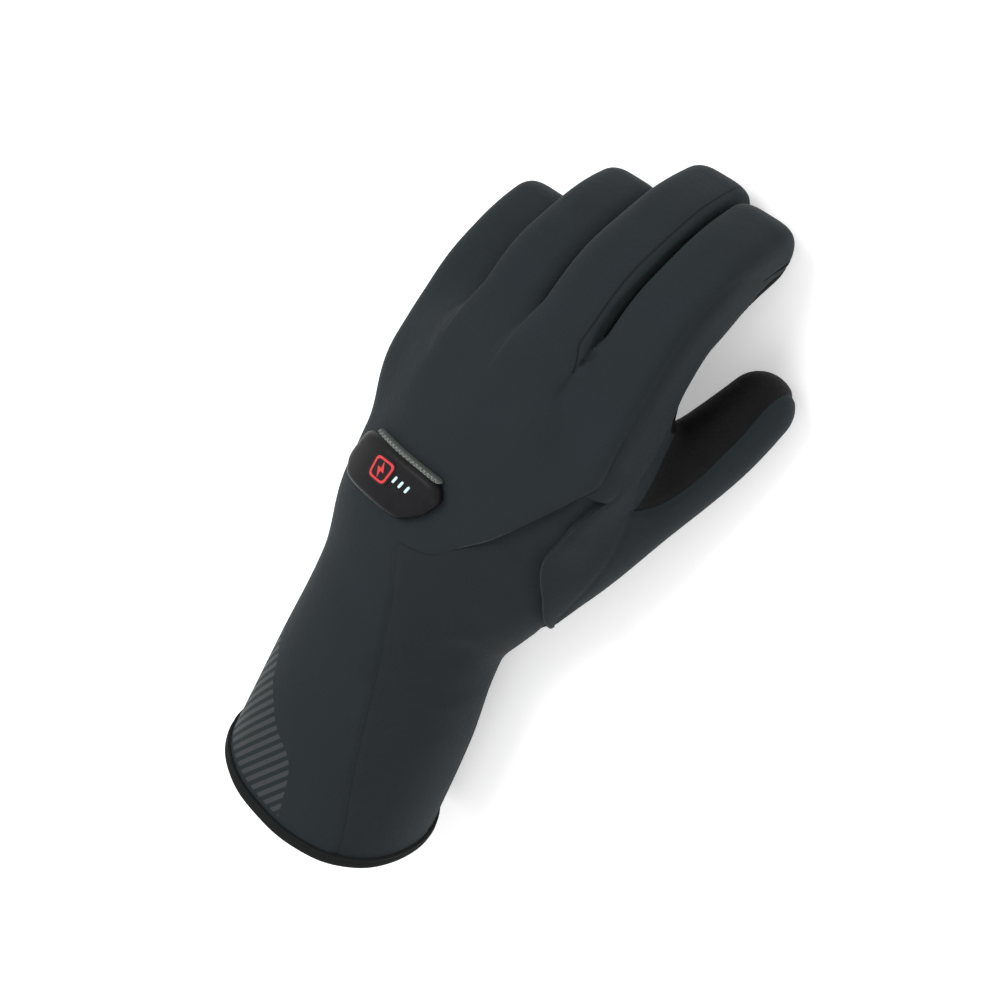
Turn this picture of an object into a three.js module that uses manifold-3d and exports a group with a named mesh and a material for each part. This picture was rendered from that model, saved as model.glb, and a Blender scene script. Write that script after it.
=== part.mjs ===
// A padded winter glove for the left hand with a heating control on its back, lying palm down.
// Millimetres. +Y runs from the hem to the fingertips, +X points to the thumb, +Z up from the surface it lies on.
import * as THREE from "three";
import { mergeVertices } from "three/addons/utils/BufferGeometryUtils.js";
import Module from "manifold-3d";

const wasm = await Module();
wasm.setup();

// Driving sizes of the glove
const BODY_LENGTH = 196; // hem to finger crotches
const BODY_WIDTH = 96; // across the knuckles
const BODY_HEIGHT = 66; // back of the hand above the surface
const FINGER_LENGTH = 102; // middle finger, knuckle to tip along its bends
const FINGER_WIDTH = 26.4;
const THUMB_WIDTH = 30;
const HAND_PITCH = 4.7; // degrees that the hand rises from the cuff to the knuckles
const SECTION_POWER = 2.2; // roundness of the hand's section, 2 is an ellipse

// Walls and steps
const HAND_WALL = 3; // padded cloth of the hand
const CUFF_WALL = 2; // cloth of the cuff
const SEAM_GAP = 0.3; // between two pieces that meet at a seam
const CUT_MARGIN = 0.02; // a strip that narrows to a seam ends where it is thinner than this
const FINGER_GAP = 0.6; // between two fingers that lie side by side
const FOURCHETTE_HALF = 4; // half height of the strip between two fingers
const SIDE_STRIP_HALF = 5; // half height of the strip on the thumb side of the index finger
const CUFF_STEP = HAND_WALL - CUFF_WALL; // the panels' edges stand this proud of the cuff

// Hem
const HEM_BAND = 4; // width of the binding
const HEM_BAND_PROUD = 0.6; // binding past the cuff's cloth, on both faces
const HEM_AHEAD = 11.7; // the hem's middle lies this far ahead of the body's datum
const HEM_BACK = 10; // the hem reaches this much further back on top than at mid height
const HEM_SLANT = 0.104; // rise of the hem towards the little finger, as a slope
const HEM_FADE = 70; // stretch over which the hem's slant fades out
const WRIST_SEAM = 88; // palm panel to cuff, from the datum
const FRONT_SLANT = 0.25; // the crotches step back towards the little finger, as a slope

// Control
const POD_LENGTH = 42; // around the back of the hand
const POD_WIDTH = 20.5; // along the hand
const POD_HEIGHT = 4.2;
const POD_ALONG = 126.5; // its middle from the datum
const POD_ROUND = 16; // its middle from the crest of the hand, around towards the little finger
const POD_SEAT = 0.5; // its flat-sided underside over the round cloth
const PIPING_WIDTH = 2;
const PIPING_HEIGHT = 2.6;
const BUTTON_SIZE = 8.6;
const BUTTON_ROUND = 18.2; // from the crest of the hand
const BUTTON_ALONG = 128.4; // from the datum
const LED_LENGTH = 3.2;
const LED_WIDTH = 1.1;
const LED_PITCH = 2.85;
const LED_ROUND = 6.1; // the last bar, from the crest
const LED_ALONG = 129;
const LED_COUNT = 3;
const POCKET_DEPTH = 1;

// Fineness of the surfaces
const BODY_SIDES = 28;
const BODY_INNER_SIDES = 16;
const FINGER_SIDES = 16;
const FINGER_INNER_SIDES = 10;

// Sections of the body: along as a share of BODY_LENGTH, half and across of BODY_WIDTH, top and bottom of BODY_HEIGHT.
const BODY_SECTIONS = [
  { along: 0.0, half: 0.41, top: 1.015, bottom: -0.05, across: -0.06 },
  { along: 0.23, half: 0.402, top: 0.96, bottom: -0.05, across: -0.085 },
  { along: 0.434, half: 0.388, top: 0.91, bottom: 0.01, across: -0.108 },
  { along: 0.571, half: 0.446, top: 0.93, bottom: 0.08, across: -0.092 },
  { along: 0.714, half: 0.49, top: 0.972, bottom: 0.155, across: -0.028 },
  { along: 0.842, half: 0.501, top: 0.99, bottom: 0.235, across: -0.018 },
  { along: 0.929, half: 0.48, top: 0.975, bottom: 0.285, across: -0.024 },
  { along: 1.0, half: 0.452, top: 0.92, bottom: 0.36, across: -0.036 },
];

// Fingers: the knuckle's place as shares of BODY_WIDTH, BODY_LENGTH and BODY_HEIGHT, the three lengths between joints as
// shares of FINGER_LENGTH, the bends at the three joints and the splay in degrees, half widths as shares of FINGER_WIDTH.
const FINGERS = [
  { name: "little", across: -0.396, along: 0.779, height: 0.645, splay: -3.4, lengths: [0.373, 0.225, 0.216], bends: [15, 23, 16], root: 0.496, tip: 0.405 },
  { name: "ring", across: -0.184, along: 0.835, height: 0.742, splay: -1.1, lengths: [0.431, 0.275, 0.225], bends: [18.3, 28.3, 19.3], root: 0.504, tip: 0.402 },
  { name: "middle", across: 0.0625, along: 0.865, height: 0.8, splay: 1.0, lengths: [0.471, 0.294, 0.235], bends: [18.2, 27.2, 20.2], root: 0.492, tip: 0.428 },
  { name: "index", across: 0.321, along: 0.8515, height: 0.742, splay: -0.6, lengths: [0.451, 0.265, 0.235], bends: [14.6, 23.6, 17.6], root: 0.553, tip: 0.424 },
];

// Thumb: its middle line as shares of BODY_WIDTH, BODY_LENGTH and BODY_HEIGHT, half width as a share of THUMB_WIDTH.
const THUMB_STATIONS = [
  { across: 0.153, along: 0.5245, height: 0.468, half: 0.617 },
  { across: 0.323, along: 0.658, height: 0.441, half: 0.537 },
  { across: 0.428, along: 0.791, height: 0.365, half: 0.5 },
  { across: 0.546, along: 0.944, height: 0.264, half: 0.453 },
  { across: 0.62, along: 1.087, height: 0.182, half: 0.4 },
];

// Seams, each a path in shares of BODY_WIDTH, BODY_LENGTH and, where it isn't cut straight down, BODY_HEIGHT.
// The back panel's edge: up the cuff, along its wavy overlap at the wrist, then along the thumb side of the index finger.
const BACK_EDGE = [
  { across: 0.262, along: -0.06 },
  { across: 0.23, along: 0.056 },
  { across: 0.071, along: 0.32 },
  { across: -0.06, along: 0.52 },
  { across: -0.088, along: 0.558 },
  { across: -0.02, along: 0.567 },
  { across: 0.048, along: 0.58 },
  { across: 0.105, along: 0.61 },
  { across: 0.211, along: 0.664 },
  { across: 0.335, along: 0.749 },
  { across: 0.408, along: 0.804 },
  { across: 0.446, along: 0.834 },
  { across: 0.45, along: 0.911 },
  { across: 0.444, along: 0.982 },
  { across: 0.436, along: 1.085 },
  { across: 0.43, along: 1.19 },
  { across: 0.47, along: 1.26 },
];
// The thumb panel's edge over the wrist, as seen from the side of the thumb.
const THUMB_EDGE = [
  { across: 0.417, along: 0.878, height: 0.848 },
  { across: 0.473, along: 0.84, height: 0.76 },
  { across: 0.439, along: 0.757, height: 0.865 },
  { across: 0.368, along: 0.672, height: 0.78 },
  { across: 0.366, along: 0.637, height: 0.724 },
  { across: 0.385, along: 0.598, height: 0.64 },
  { across: 0.396, along: 0.563, height: 0.564 },
  { across: 0.393, along: 0.544, height: 0.468 },
  { across: 0.44, along: 0.535, height: 0.3 },
];
const SIDE_VIEW = new THREE.Vector3(0.435, 0.306, 0.847).normalize(); // the direction that the thumb panel's edge is cut along
// The ridge of the thumb, where its palm face ends.
const THUMB_RIDGE = [
  { across: 0.4, along: 0.795 },
  { across: 0.495, along: 0.803 },
  { across: 0.535, along: 0.818 },
  { across: 0.572, along: 0.848 },
  { across: 0.611, along: 0.9 },
  { across: 0.648, along: 0.984 },
  { across: 0.671, along: 1.071 },
  { across: 0.69, along: 1.16 },
];
// Lower edge of the thumb panel: heights as shares of BODY_HEIGHT under the index finger, at the hand's side and past it.
const PANEL_LOW_EDGE = [
  { along: 0.4, hand: 0.5, past: 0.5 },
  { along: 0.545, hand: 0.47, past: 0.47 },
  { along: 0.66, hand: 0.3, past: 0.3 },
  { along: 0.77, hand: 0.22, past: 0.2 },
  { along: 0.83, hand: 0.28, past: -0.5 },
  { along: 0.93, hand: 0.42, past: -0.5 },
  { along: 1.0, hand: 0.55, past: -0.5 },
];

const COLOURS = {
  back: 0x32363a,
  palm: 0x26282a,
  thumbPanel: 0x2f3336,
  thumbPalm: 0x1b1b1c,
  fourchette: 0x25292c,
  cuffBack: 0x2f3338,
  cuffPalm: 0x2a2d30,
  hem: 0x2a2d2e,
  pod: 0x1d1d1f,
  piping: 0x636864,
  button: 0x2a1417,
  led: 0x9fd4d8,
};

const radians = THREE.MathUtils.degToRad;
const smooth = (x) => THREE.MathUtils.smoothstep(x, 0, 1);
const spread = (from, to, count) => Array.from({ length: count }, (_, i) => from + ((to - from) * i) / (count - 1));

// Smooth curve through a table's columns: cubic pieces whose slope at a row is that of its two neighbours.
function through(rows, places, key, at) {
  const last = rows.length - 1;
  const x = THREE.MathUtils.clamp(at, places[0], places[last]);
  let i = 0;
  while (i < last - 1 && x >= places[i + 1]) i += 1;
  const slope = (k) => {
    const a = Math.max(k - 1, 0);
    const b = Math.min(k + 1, last);
    return (rows[b][key] - rows[a][key]) / (places[b] - places[a]);
  };
  const step = places[i + 1] - places[i];
  const t = (x - places[i]) / step;
  const from = rows[i][key] * (1 + 2 * t) * (1 - t) ** 2 + step * slope(i) * t * (1 - t) ** 2;
  return from + rows[i + 1][key] * t * t * (3 - 2 * t) + step * slope(i + 1) * t * t * (t - 1);
}

// A closed body from rings of points: a fan closes each end, or the last ring joins the first.
function skin(rings, ringsClose = false) {
  const count = rings[0].length;
  const points = rings.flat();
  const faces = [];
  const rows = ringsClose ? rings.length : rings.length - 1;
  for (let i = 0; i < rows; i += 1) {
    const next = ((i + 1) % rings.length) * count;
    for (let j = 0; j < count; j += 1) {
      const k = (j + 1) % count;
      faces.push(i * count + j, i * count + k, next + k, i * count + j, next + k, next + j);
    }
  }
  if (!ringsClose) {
    for (const [ring, turn] of [[0, 1], [rings.length - 1, 0]]) {
      const centre = rings[ring].reduce((sum, p) => sum.add(p), new THREE.Vector3()).divideScalar(count);
      const hub = points.push(centre) - 1;
      for (let j = 0; j < count; j += 1) {
        const a = ring * count + j;
        const b = ring * count + ((j + 1) % count);
        faces.push(hub, turn ? b : a, turn ? a : b);
      }
    }
  }
  const geometry = new THREE.BufferGeometry().setFromPoints(points);
  geometry.setIndex(faces);
  return geometry;
}

// A three.js geometry as a solid to cut or join, with its faces turned outwards.
function solid(geometry) {
  const bare = geometry.clone();
  bare.deleteAttribute("normal");
  bare.deleteAttribute("uv");
  const merged = mergeVertices(bare, 1e-4);
  const at = merged.attributes.position.array;
  const faces = new Uint32Array(merged.index.array);
  let volume = 0;
  for (let i = 0; i < faces.length; i += 3) {
    const [a, b, c] = [0, 1, 2].map((k) => new THREE.Vector3().fromArray(at, faces[i + k] * 3));
    volume += a.dot(b.cross(c));
  }
  if (volume < 0) {
    for (let i = 0; i < faces.length; i += 3) [faces[i + 1], faces[i + 2]] = [faces[i + 2], faces[i + 1]];
  }
  return new wasm.Manifold(new wasm.Mesh({ numProp: 3, vertProperties: new Float32Array(at), triVerts: faces }));
}

const join = (solids) => solids.reduce((all, one) => all.add(one));

// The body's section at a distance along it.
function section(y) {
  const places = BODY_SECTIONS.map((row) => row.along * BODY_LENGTH);
  const read = (key) => through(BODY_SECTIONS, places, key, y);
  const top = read("top") * BODY_HEIGHT;
  const bottom = read("bottom") * BODY_HEIGHT;
  return {
    half: read("half") * BODY_WIDTH,
    across: read("across") * BODY_WIDTH,
    middle: (top + bottom) / 2,
    rise: (top - bottom) / 2,
  };
}

// How far the crotches step back at a place across the hand.
const stepBack = (x) => FRONT_SLANT * Math.max(0, FINGERS[2].across * BODY_WIDTH - x);

const curl = (value) => Math.sign(value) * Math.abs(value) ** (2 / SECTION_POWER);

// A point of the body, grown by an offset; the cuff's cloth is flattened where it rests.
function bodyPoint(y, angle, offset, close = 1) {
  const { half, across, middle, rise } = section(y);
  const side = curl(Math.cos(angle));
  const up = curl(Math.sin(angle));
  const narrow = 0.85 + 0.15 * close;
  const x = across + (half + offset) * side * narrow;
  const z = Math.max(middle + (rise + offset) * up * close, Math.max(0, -offset - CUFF_STEP));
  const fade = THREE.MathUtils.clamp(1 - y / HEM_FADE, 0, 1);
  const hem = fade * (HEM_AHEAD - HEM_SLANT * x - HEM_BACK * up);
  const knuckles = smooth((y / BODY_LENGTH - 0.7) / 0.3) * stepBack(x);
  return new THREE.Vector3(x, y + hem - knuckles, z);
}

const circle = (sides) => Array.from({ length: sides }, (_, j) => (j * 2 * Math.PI) / sides);
const bodyRing = (y, offset, sides, close) => circle(sides).map((angle) => bodyPoint(y, angle, offset, close));

const DOME = 12; // length of the rounded front between the fingers
const DOME_LEAD = 8; // the last plain section's distance behind it
const FRONT = BODY_LENGTH + 4; // the dome's end
const domeClose = (y, end) => Math.sqrt(Math.max(0.01, 1 - THREE.MathUtils.clamp((y - (end - DOME)) / DOME, 0, 1) ** 2));

// The body from a start to its rounded front, grown by an offset that may change along it.
function bodyLoft(start, end, offsetAt, sides, steps) {
  const round = [0, 0.35, 0.6, 0.8, 0.94, 1].map((share) => end - DOME + share * DOME);
  const rows = [...spread(start, end - DOME - DOME_LEAD, steps), ...round];
  return skin(rows.map((y) => bodyRing(y, offsetAt(y), sides, domeClose(y, end))));
}

// The middle line of a finger with its frame, at distances from the knuckle.
const BEND_LENGTH = 22; // stretch over which a joint bends
const ROOT_REACH = 20; // how far a finger runs back into the hand
function fingerLine(finger, at) {
  const [first, second] = finger.lengths.map((share) => share * FINGER_LENGTH);
  const joints = [0, first, first + second];
  const pitch = (s) =>
    joints.reduce(
      (sum, joint, j) => sum - radians(finger.bends[j]) * smooth((s - joint) / BEND_LENGTH + 0.5),
      radians(HAND_PITCH),
    );
  const step = 0.5;
  const walk = (to) => {
    const count = Math.ceil(Math.abs(to) / step);
    let [y, z] = [0, 0];
    for (let i = 0; i < count; i += 1) {
      const s = ((i + 0.5) * to) / count;
      y += (Math.cos(pitch(s)) * to) / count;
      z += (Math.sin(pitch(s)) * to) / count;
    }
    return [y, z];
  };
  const splay = radians(finger.splay);
  const [y, z] = walk(at);
  return {
    centre: new THREE.Vector3(
      finger.across * BODY_WIDTH + Math.sin(splay) * y,
      finger.along * BODY_LENGTH + Math.cos(splay) * y,
      finger.height * BODY_HEIGHT + z,
    ),
    side: new THREE.Vector3(Math.cos(splay), -Math.sin(splay), 0),
    ahead: new THREE.Vector3(
      Math.sin(splay) * Math.cos(pitch(at)),
      Math.cos(splay) * Math.cos(pitch(at)),
      Math.sin(pitch(at)),
    ),
  };
}

const fingerReach = (finger) => finger.lengths.reduce((sum, share) => sum + share, 0) * FINGER_LENGTH;
const TIP_ROUND = 12; // length of a fingertip's rounding
const tipClose = (toTip, length) => Math.sqrt(Math.max(0.004, 1 - THREE.MathUtils.clamp(1 - toTip / length, 0, 1) ** 2.2));

// A ring of points around a middle line; a fingertip is flattened where it rests.
function ringAround(centre, side, ahead, wide, deep, sides, floor) {
  const up = new THREE.Vector3().crossVectors(side, ahead).normalize();
  return circle(sides).map((angle) => {
    const point = centre
      .clone()
      .addScaledVector(side, wide * Math.cos(angle))
      .addScaledVector(up, deep * Math.sin(angle));
    point.z = Math.max(point.z, floor);
    return point;
  });
}

// A finger's tube, shrunk by an inset.
function fingerLoft(finger, inset, sides, steps) {
  const reach = fingerReach(finger) - inset;
  const places = [...spread(-ROOT_REACH, reach - TIP_ROUND, steps), ...[0.4, 0.7, 0.9, 1].map((k) => reach - TIP_ROUND * (1 - k))];
  const rings = places.map((s) => {
    const { centre, side, ahead } = fingerLine(finger, s);
    const share = THREE.MathUtils.clamp(s / fingerReach(finger), 0, 1);
    const ease = 0.55 + 0.45 * smooth((s + ROOT_REACH) / (1.5 * ROOT_REACH));
    const full = THREE.MathUtils.lerp(finger.root, finger.tip, share) * FINGER_WIDTH * ease - inset;
    const half = full * tipClose(reach - s, TIP_ROUND);
    return ringAround(centre, side, ahead, half, half * 0.96, sides, inset);
  });
  return skin(rings);
}

// The thumb's tube, shrunk by an inset.
const THUMB_TIP_ROUND = 13;
function thumbLoft(inset, sides, steps) {
  const places = THUMB_STATIONS.map((_, i) => i / (THUMB_STATIONS.length - 1));
  const read = (u) => ({
    centre: new THREE.Vector3(
      through(THUMB_STATIONS, places, "across", u) * BODY_WIDTH,
      through(THUMB_STATIONS, places, "along", u) * BODY_LENGTH,
      through(THUMB_STATIONS, places, "height", u) * BODY_HEIGHT,
    ),
    half: through(THUMB_STATIONS, places, "half", u) * THUMB_WIDTH - inset,
  });
  const end = read(1).centre;
  const shares = spread(0, 1, steps).map((t) => 1 - (1 - t) ** 1.5);
  const rings = shares.map((u) => {
    const { centre, half } = read(u);
    const ahead = read(Math.min(u + 0.01, 1)).centre.sub(read(Math.max(u - 0.01, 0)).centre).normalize();
    const side = new THREE.Vector3().crossVectors(ahead, new THREE.Vector3(0.35, 0.1, -1)).normalize();
    const close = tipClose(centre.distanceTo(end), THUMB_TIP_ROUND);
    centre.addScaledVector(ahead, -inset * u);
    return ringAround(centre, side, ahead, half * close, half * close, sides, inset);
  });
  return skin(rings);
}

// A prism with the outline that a path has when it is seen along a direction.
const FAR = 400; // longer than anything here
function prism(path, direction = new THREE.Vector3(0, 0, 1)) {
  const turn = new THREE.Quaternion().setFromUnitVectors(direction, new THREE.Vector3(0, 0, 1));
  const flat = path.map((p) => p.clone().applyQuaternion(turn));
  const shape = new THREE.Shape(flat.map((p) => new THREE.Vector2(p.x, p.y)));
  const geometry = new THREE.ExtrudeGeometry(shape, { depth: 2 * FAR, bevelEnabled: false });
  return solid(geometry.translate(0, 0, -FAR).applyQuaternion(turn.invert()));
}

const place = ({ across, along, height = 0 }) => new THREE.Vector3(across * BODY_WIDTH, along * BODY_LENGTH, height * BODY_HEIGHT);

// The same path moved sideways by a distance, to its right when that is positive, as seen along a direction.
function beside(path, distance, direction = new THREE.Vector3(0, 0, 1)) {
  return path.map((point, i) => {
    const before = path[Math.max(i - 1, 0)];
    const after = path[Math.min(i + 1, path.length - 1)];
    const ahead = after.clone().sub(before).projectOnPlane(direction).normalize();
    return point.clone().addScaledVector(new THREE.Vector3().crossVectors(ahead, direction), distance);
  });
}

// The space on one side of a height that is given over the glove's plan, in rows that lie close together at the fingers.
const WRIST_ROWS = spread(-0.306, 0.765, 7);
const FINGER_ROWS = spread(0.8265, 1.3775, 13);
function blanket(heightAt, farHeight) {
  const rows = [...WRIST_ROWS, ...FINGER_ROWS].map((share) => share * BODY_LENGTH);
  const grid = rows.map((y) => seamColumns(y).map((x, column) => new THREE.Vector3(x, y, heightAt(y, column))));
  const rings = grid.map((near) => [...near, ...near.map((p) => new THREE.Vector3(p.x, p.y, farHeight)).reverse()]);
  return solid(skin(rings));
}

// Lines along the glove: both outer sides, the fingers' middle lines and the valleys between them.
const SEAM_COLUMNS = ["outer", "little", "valley", "ring", "valley", "middle", "valley", "index", "side", "past", "outer"];
const fingerAcross = (finger, y) =>
  finger.across * BODY_WIDTH + Math.tan(radians(finger.splay)) * (y - finger.along * BODY_LENGTH);
const valleyAcross = (k, y) => (fingerAcross(FINGERS[k], y) + fingerAcross(FINGERS[k + 1], y)) / 2;
function seamColumns(y) {
  const middles = FINGERS.map((finger) => fingerAcross(finger, y));
  const side = middles[3] + 0.15 * BODY_WIDTH;
  const past = side + 0.06 * BODY_WIDTH;
  const lines = FINGERS.flatMap((_, k) => (k < 3 ? [middles[k], valleyAcross(k, y)] : [middles[k]]));
  return [-1.1 * BODY_WIDTH, ...lines, side, past, 1.3 * BODY_WIDTH];
}

// Height of a finger's middle line at a distance along the glove, carried straight on past its ends.
const fingerHeights = FINGERS.map((finger) => {
  const places = spread(-ROOT_REACH, fingerReach(finger), 40).map((s) => fingerLine(finger, s).centre);
  return (y) => {
    let i = 0;
    while (i < places.length - 2 && y > places[i + 1].y) i += 1;
    const [a, b] = [places[i], places[i + 1]];
    return a.z + ((b.z - a.z) * (y - a.y)) / (b.y - a.y);
  };
});

// Height of the surface halfway between back and palm.
function midHeight(y, column) {
  const finger = THREE.MathUtils.clamp((column - 1) / 2, 0, 3);
  const [low, high] = [fingerHeights[Math.floor(finger)], fingerHeights[Math.ceil(finger)]];
  const fingers = (low(y) + high(y)) / 2;
  const share = smooth((y / BODY_LENGTH - 0.78) / 0.18);
  return THREE.MathUtils.lerp(section(y).middle, fingers, share);
}

// Half height of the strip between back and palm: nearly nothing but between the fingers and beside the index finger.
const CROTCH = 0.93 * BODY_LENGTH; // where the strips between the fingers start, before they step back
const crotchAlong = (k) => CROTCH - stepBack(valleyAcross(k, CROTCH));
function stripHalf(y, column) {
  const kind = SEAM_COLUMNS[column];
  const seam = SEAM_GAP / 2;
  if (kind === "valley") {
    const k = column / 2 - 1;
    const end = Math.min(tipAlong(FINGERS[k]), tipAlong(FINGERS[k + 1]));
    const share = smooth((y - crotchAlong(k)) / TIP_ROUND) * smooth((end - y) / (1.5 * TIP_ROUND));
    return seam + (FOURCHETTE_HALF - seam) * share;
  }
  if (kind === "side" || kind === "past") {
    const share = smooth((y - CROTCH) / TIP_ROUND) * smooth((tipAlong(FINGERS[3]) - y) / (1.5 * TIP_ROUND));
    return seam + (SIDE_STRIP_HALF - seam) * share;
  }
  return seam;
}
const tipAlong = (finger) => fingerLine(finger, fingerReach(finger)).centre.y;

// Height of the palm's edge without the thumb.
const palmLevel = (y, column) => midHeight(y, column) - stripHalf(y, column);

// Height under which the palm lies where the thumb panel is over it.
function palmHeight(y, column) {
  const kind = SEAM_COLUMNS[column];
  const level = palmLevel(y, column);
  if (kind !== "side" && kind !== "past" && column !== SEAM_COLUMNS.length - 1) return level;
  const places = PANEL_LOW_EDGE.map((row) => row.along * BODY_LENGTH);
  const key = kind === "side" ? "hand" : "past";
  if (y < places[0]) return level;
  const low = through(PANEL_LOW_EDGE, places, key, y) * BODY_HEIGHT;
  const height = kind === "side" ? THREE.MathUtils.lerp(low, level, smooth((y - places[4]) / (places[6] - places[4]))) : low;
  return Math.min(height, level);
}

// The slit between two neighbouring fingers, of some width, from a start to past the tips.
function slit(k, width, front) {
  const end = 1.5 * BODY_LENGTH;
  const start = front - stepBack(valleyAcross(k, front));
  const near = valleyAcross(k, start);
  const far = valleyAcross(k, end);
  return prism([
    new THREE.Vector3(near - width / 2, start, 0),
    new THREE.Vector3(near + width / 2, start, 0),
    new THREE.Vector3(far + width / 2, end, 0),
    new THREE.Vector3(far - width / 2, end, 0),
  ]);
}
const slits = (width, start) => join([0, 1, 2].map((k) => slit(k, width, start)));

// Cloth of the whole glove, from the hem's binding to the fingertips, with the panels' full thickness ahead of the wrist.
const START = -HEM_AHEAD;
const hemSpace = cuffRing([
  { y: START - HEM_BAND, outer: CUFF_STEP, inner: -2 * HAND_WALL },
  { y: HEM_BAND + SEAM_GAP, outer: CUFF_STEP, inner: -2 * HAND_WALL },
]);
const panelOffset = (y) => -CUFF_STEP * (1 - smooth((y / BODY_LENGTH - 0.43) / 0.12));
const hollow = join([
  solid(bodyLoft(START - 10 * HEM_BAND, FRONT - HAND_WALL, () => -HAND_WALL, BODY_INNER_SIDES, 9)),
  solid(thumbLoft(HAND_WALL, FINGER_INNER_SIDES, 8)),
  ...FINGERS.map((finger) => solid(fingerLoft(finger, HAND_WALL, FINGER_INNER_SIDES, 7))),
]).subtract(slits(FINGER_GAP + 2 * CUFF_WALL, FRONT - HAND_WALL));
const thumbOuter = solid(thumbLoft(0, FINGER_SIDES, 12));
const panels = join([
  solid(bodyLoft(START, FRONT, panelOffset, BODY_SIDES, 14)),
  thumbOuter,
  ...FINGERS.map((finger) => solid(fingerLoft(finger, 0, FINGER_SIDES, 9))),
])
  .subtract(slits(FINGER_GAP, FRONT))
  .subtract(hollow)
  .subtract(hemSpace);
const cuffCloth = solid(bodyLoft(START, FRONT - CUFF_STEP, () => -CUFF_STEP, BODY_SIDES, 14))
  .add(solid(thumbLoft(CUFF_STEP, FINGER_SIDES, 12)))
  .subtract(hollow)
  .subtract(hemSpace);

// The spaces that the seams part
const backCorners = [new THREE.Vector3(FAR / 4, 1.5 * BODY_LENGTH, 0), new THREE.Vector3(-FAR / 2, 1.5 * BODY_LENGTH, 0), new THREE.Vector3(-FAR / 2, -FAR / 4, 0), new THREE.Vector3(FAR / 10, -FAR / 4, 0)];
const backPath = BACK_EDGE.map(place);
const backZone = prism([...backPath, ...backCorners]);
const backZoneWide = prism([...beside(backPath, SEAM_GAP), ...backCorners]);
const edgeCorners = [place({ across: 2, along: 0.4, height: -1 }), place({ across: 2, along: 1.6, height: 0.5 }), place({ across: 0.3, along: 1.6, height: 0.9 }), place({ across: 0.35, along: 0.95, height: 1 })];
const edgePath = THUMB_EDGE.map(place);
const knuckleLine = 0.85 * BODY_LENGTH;
const indexSide = prism([
  new THREE.Vector3(0, 0, 0),
  new THREE.Vector3(FAR, 0, 0),
  new THREE.Vector3(FAR, 1.5 * BODY_LENGTH, 0),
  new THREE.Vector3(fingerAcross(FINGERS[3], 1.5 * BODY_LENGTH) + 1, 1.5 * BODY_LENGTH, 0),
  new THREE.Vector3(fingerAcross(FINGERS[3], knuckleLine) + 1, knuckleLine, 0),
  new THREE.Vector3(0, knuckleLine, 0),
]);
const thumbZone = prism([...edgePath, ...edgeCorners], SIDE_VIEW).intersect(indexSide);
const thumbZoneWide = prism([...beside(edgePath, SEAM_GAP, SIDE_VIEW), ...edgeCorners], SIDE_VIEW);
const ridgePath = THUMB_RIDGE.map(place);
const ridgeCorners = [place({ across: 0.3, along: 1.16 }), place({ across: 0.3, along: 0.795 })];
const fatThumb = solid(thumbLoft(-SEAM_GAP, FINGER_SIDES, 12));
const fatterThumb = solid(thumbLoft(-2 * SEAM_GAP, FINGER_SIDES, 12));
const blackZone = prism([...ridgePath, ...ridgeCorners]).intersect(fatThumb);
const blackZoneWide = prism([...beside(ridgePath, SEAM_GAP), place({ across: 0.29, along: 1.17 }), place({ across: 0.29, along: 0.793 })]).intersect(fatterThumb);

const high = FAR / 2;
const aboveStrip = blanket((y, c) => midHeight(y, c) + stripHalf(y, c), high);
const aboveStripWide = blanket((y, c) => midHeight(y, c) + stripHalf(y, c) - SEAM_GAP - CUT_MARGIN, high);
const withinStrip = blanket((y, c) => midHeight(y, c) - stripHalf(y, c) + SEAM_GAP, high).intersect(
  blanket((y, c) => midHeight(y, c) + stripHalf(y, c) - SEAM_GAP, -high),
);
const aboveMiddle = blanket((y, c) => midHeight(y, c) + SEAM_GAP / 2, high);
const belowMiddle = blanket((y, c) => midHeight(y, c) - SEAM_GAP / 2, -high);
const abovePalm = blanket(palmHeight, high);
const belowPalm = blanket(palmLevel, -high);
const abovePalmWide = blanket((y, c) => palmHeight(y, c) - SEAM_GAP, high);

const wristFront = prism([
  new THREE.Vector3(-FAR / 2, WRIST_SEAM, 0),
  new THREE.Vector3(FAR / 2, WRIST_SEAM, 0),
  new THREE.Vector3(FAR / 2, FAR, 0),
  new THREE.Vector3(-FAR / 2, FAR, 0),
]);
const wristBack = prism([
  new THREE.Vector3(-FAR / 2, WRIST_SEAM - SEAM_GAP, 0),
  new THREE.Vector3(FAR / 2, WRIST_SEAM - SEAM_GAP, 0),
  new THREE.Vector3(FAR / 2, -FAR / 2, 0),
  new THREE.Vector3(-FAR / 2, -FAR / 2, 0),
]);

// The space between the middle lines of two neighbouring fingers.
function between(k) {
  const rows = [crotchAlong(k) - TIP_ROUND, 1.5 * BODY_LENGTH];
  const [left, right] = [FINGERS[k], FINGERS[k + 1]];
  return prism([
    new THREE.Vector3(fingerAcross(left, rows[0]) + 1, rows[0], 0),
    new THREE.Vector3(fingerAcross(right, rows[0]) - 1, rows[0], 0),
    new THREE.Vector3(fingerAcross(right, rows[1]) - 1, rows[1], 0),
    new THREE.Vector3(fingerAcross(left, rows[1]) + 1, rows[1], 0),
  ]);
}

// A ring that follows the cuff's end, from rows along it that each have an offset out of the cloth and one into it.
function cuffRing(rows) {
  const out = rows.map(({ y, outer }) => bodyRing(y, outer, BODY_SIDES, 1));
  const back = rows.map(({ y, inner }) => bodyRing(y, inner, BODY_SIDES, 1)).reverse();
  return solid(skin([...out, ...back], true));
}

// The binding of the hem, a little thicker than the cloth and softened at its end.
function hemBinding() {
  const outer = HEM_BAND_PROUD - CUFF_STEP;
  const inner = -HAND_WALL - HEM_BAND_PROUD;
  return cuffRing([
    { y: 0, outer: outer - 0.5, inner: inner + 0.5 },
    { y: HEM_BAND / 4, outer, inner },
    { y: HEM_BAND, outer, inner },
  ]);
}

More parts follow.
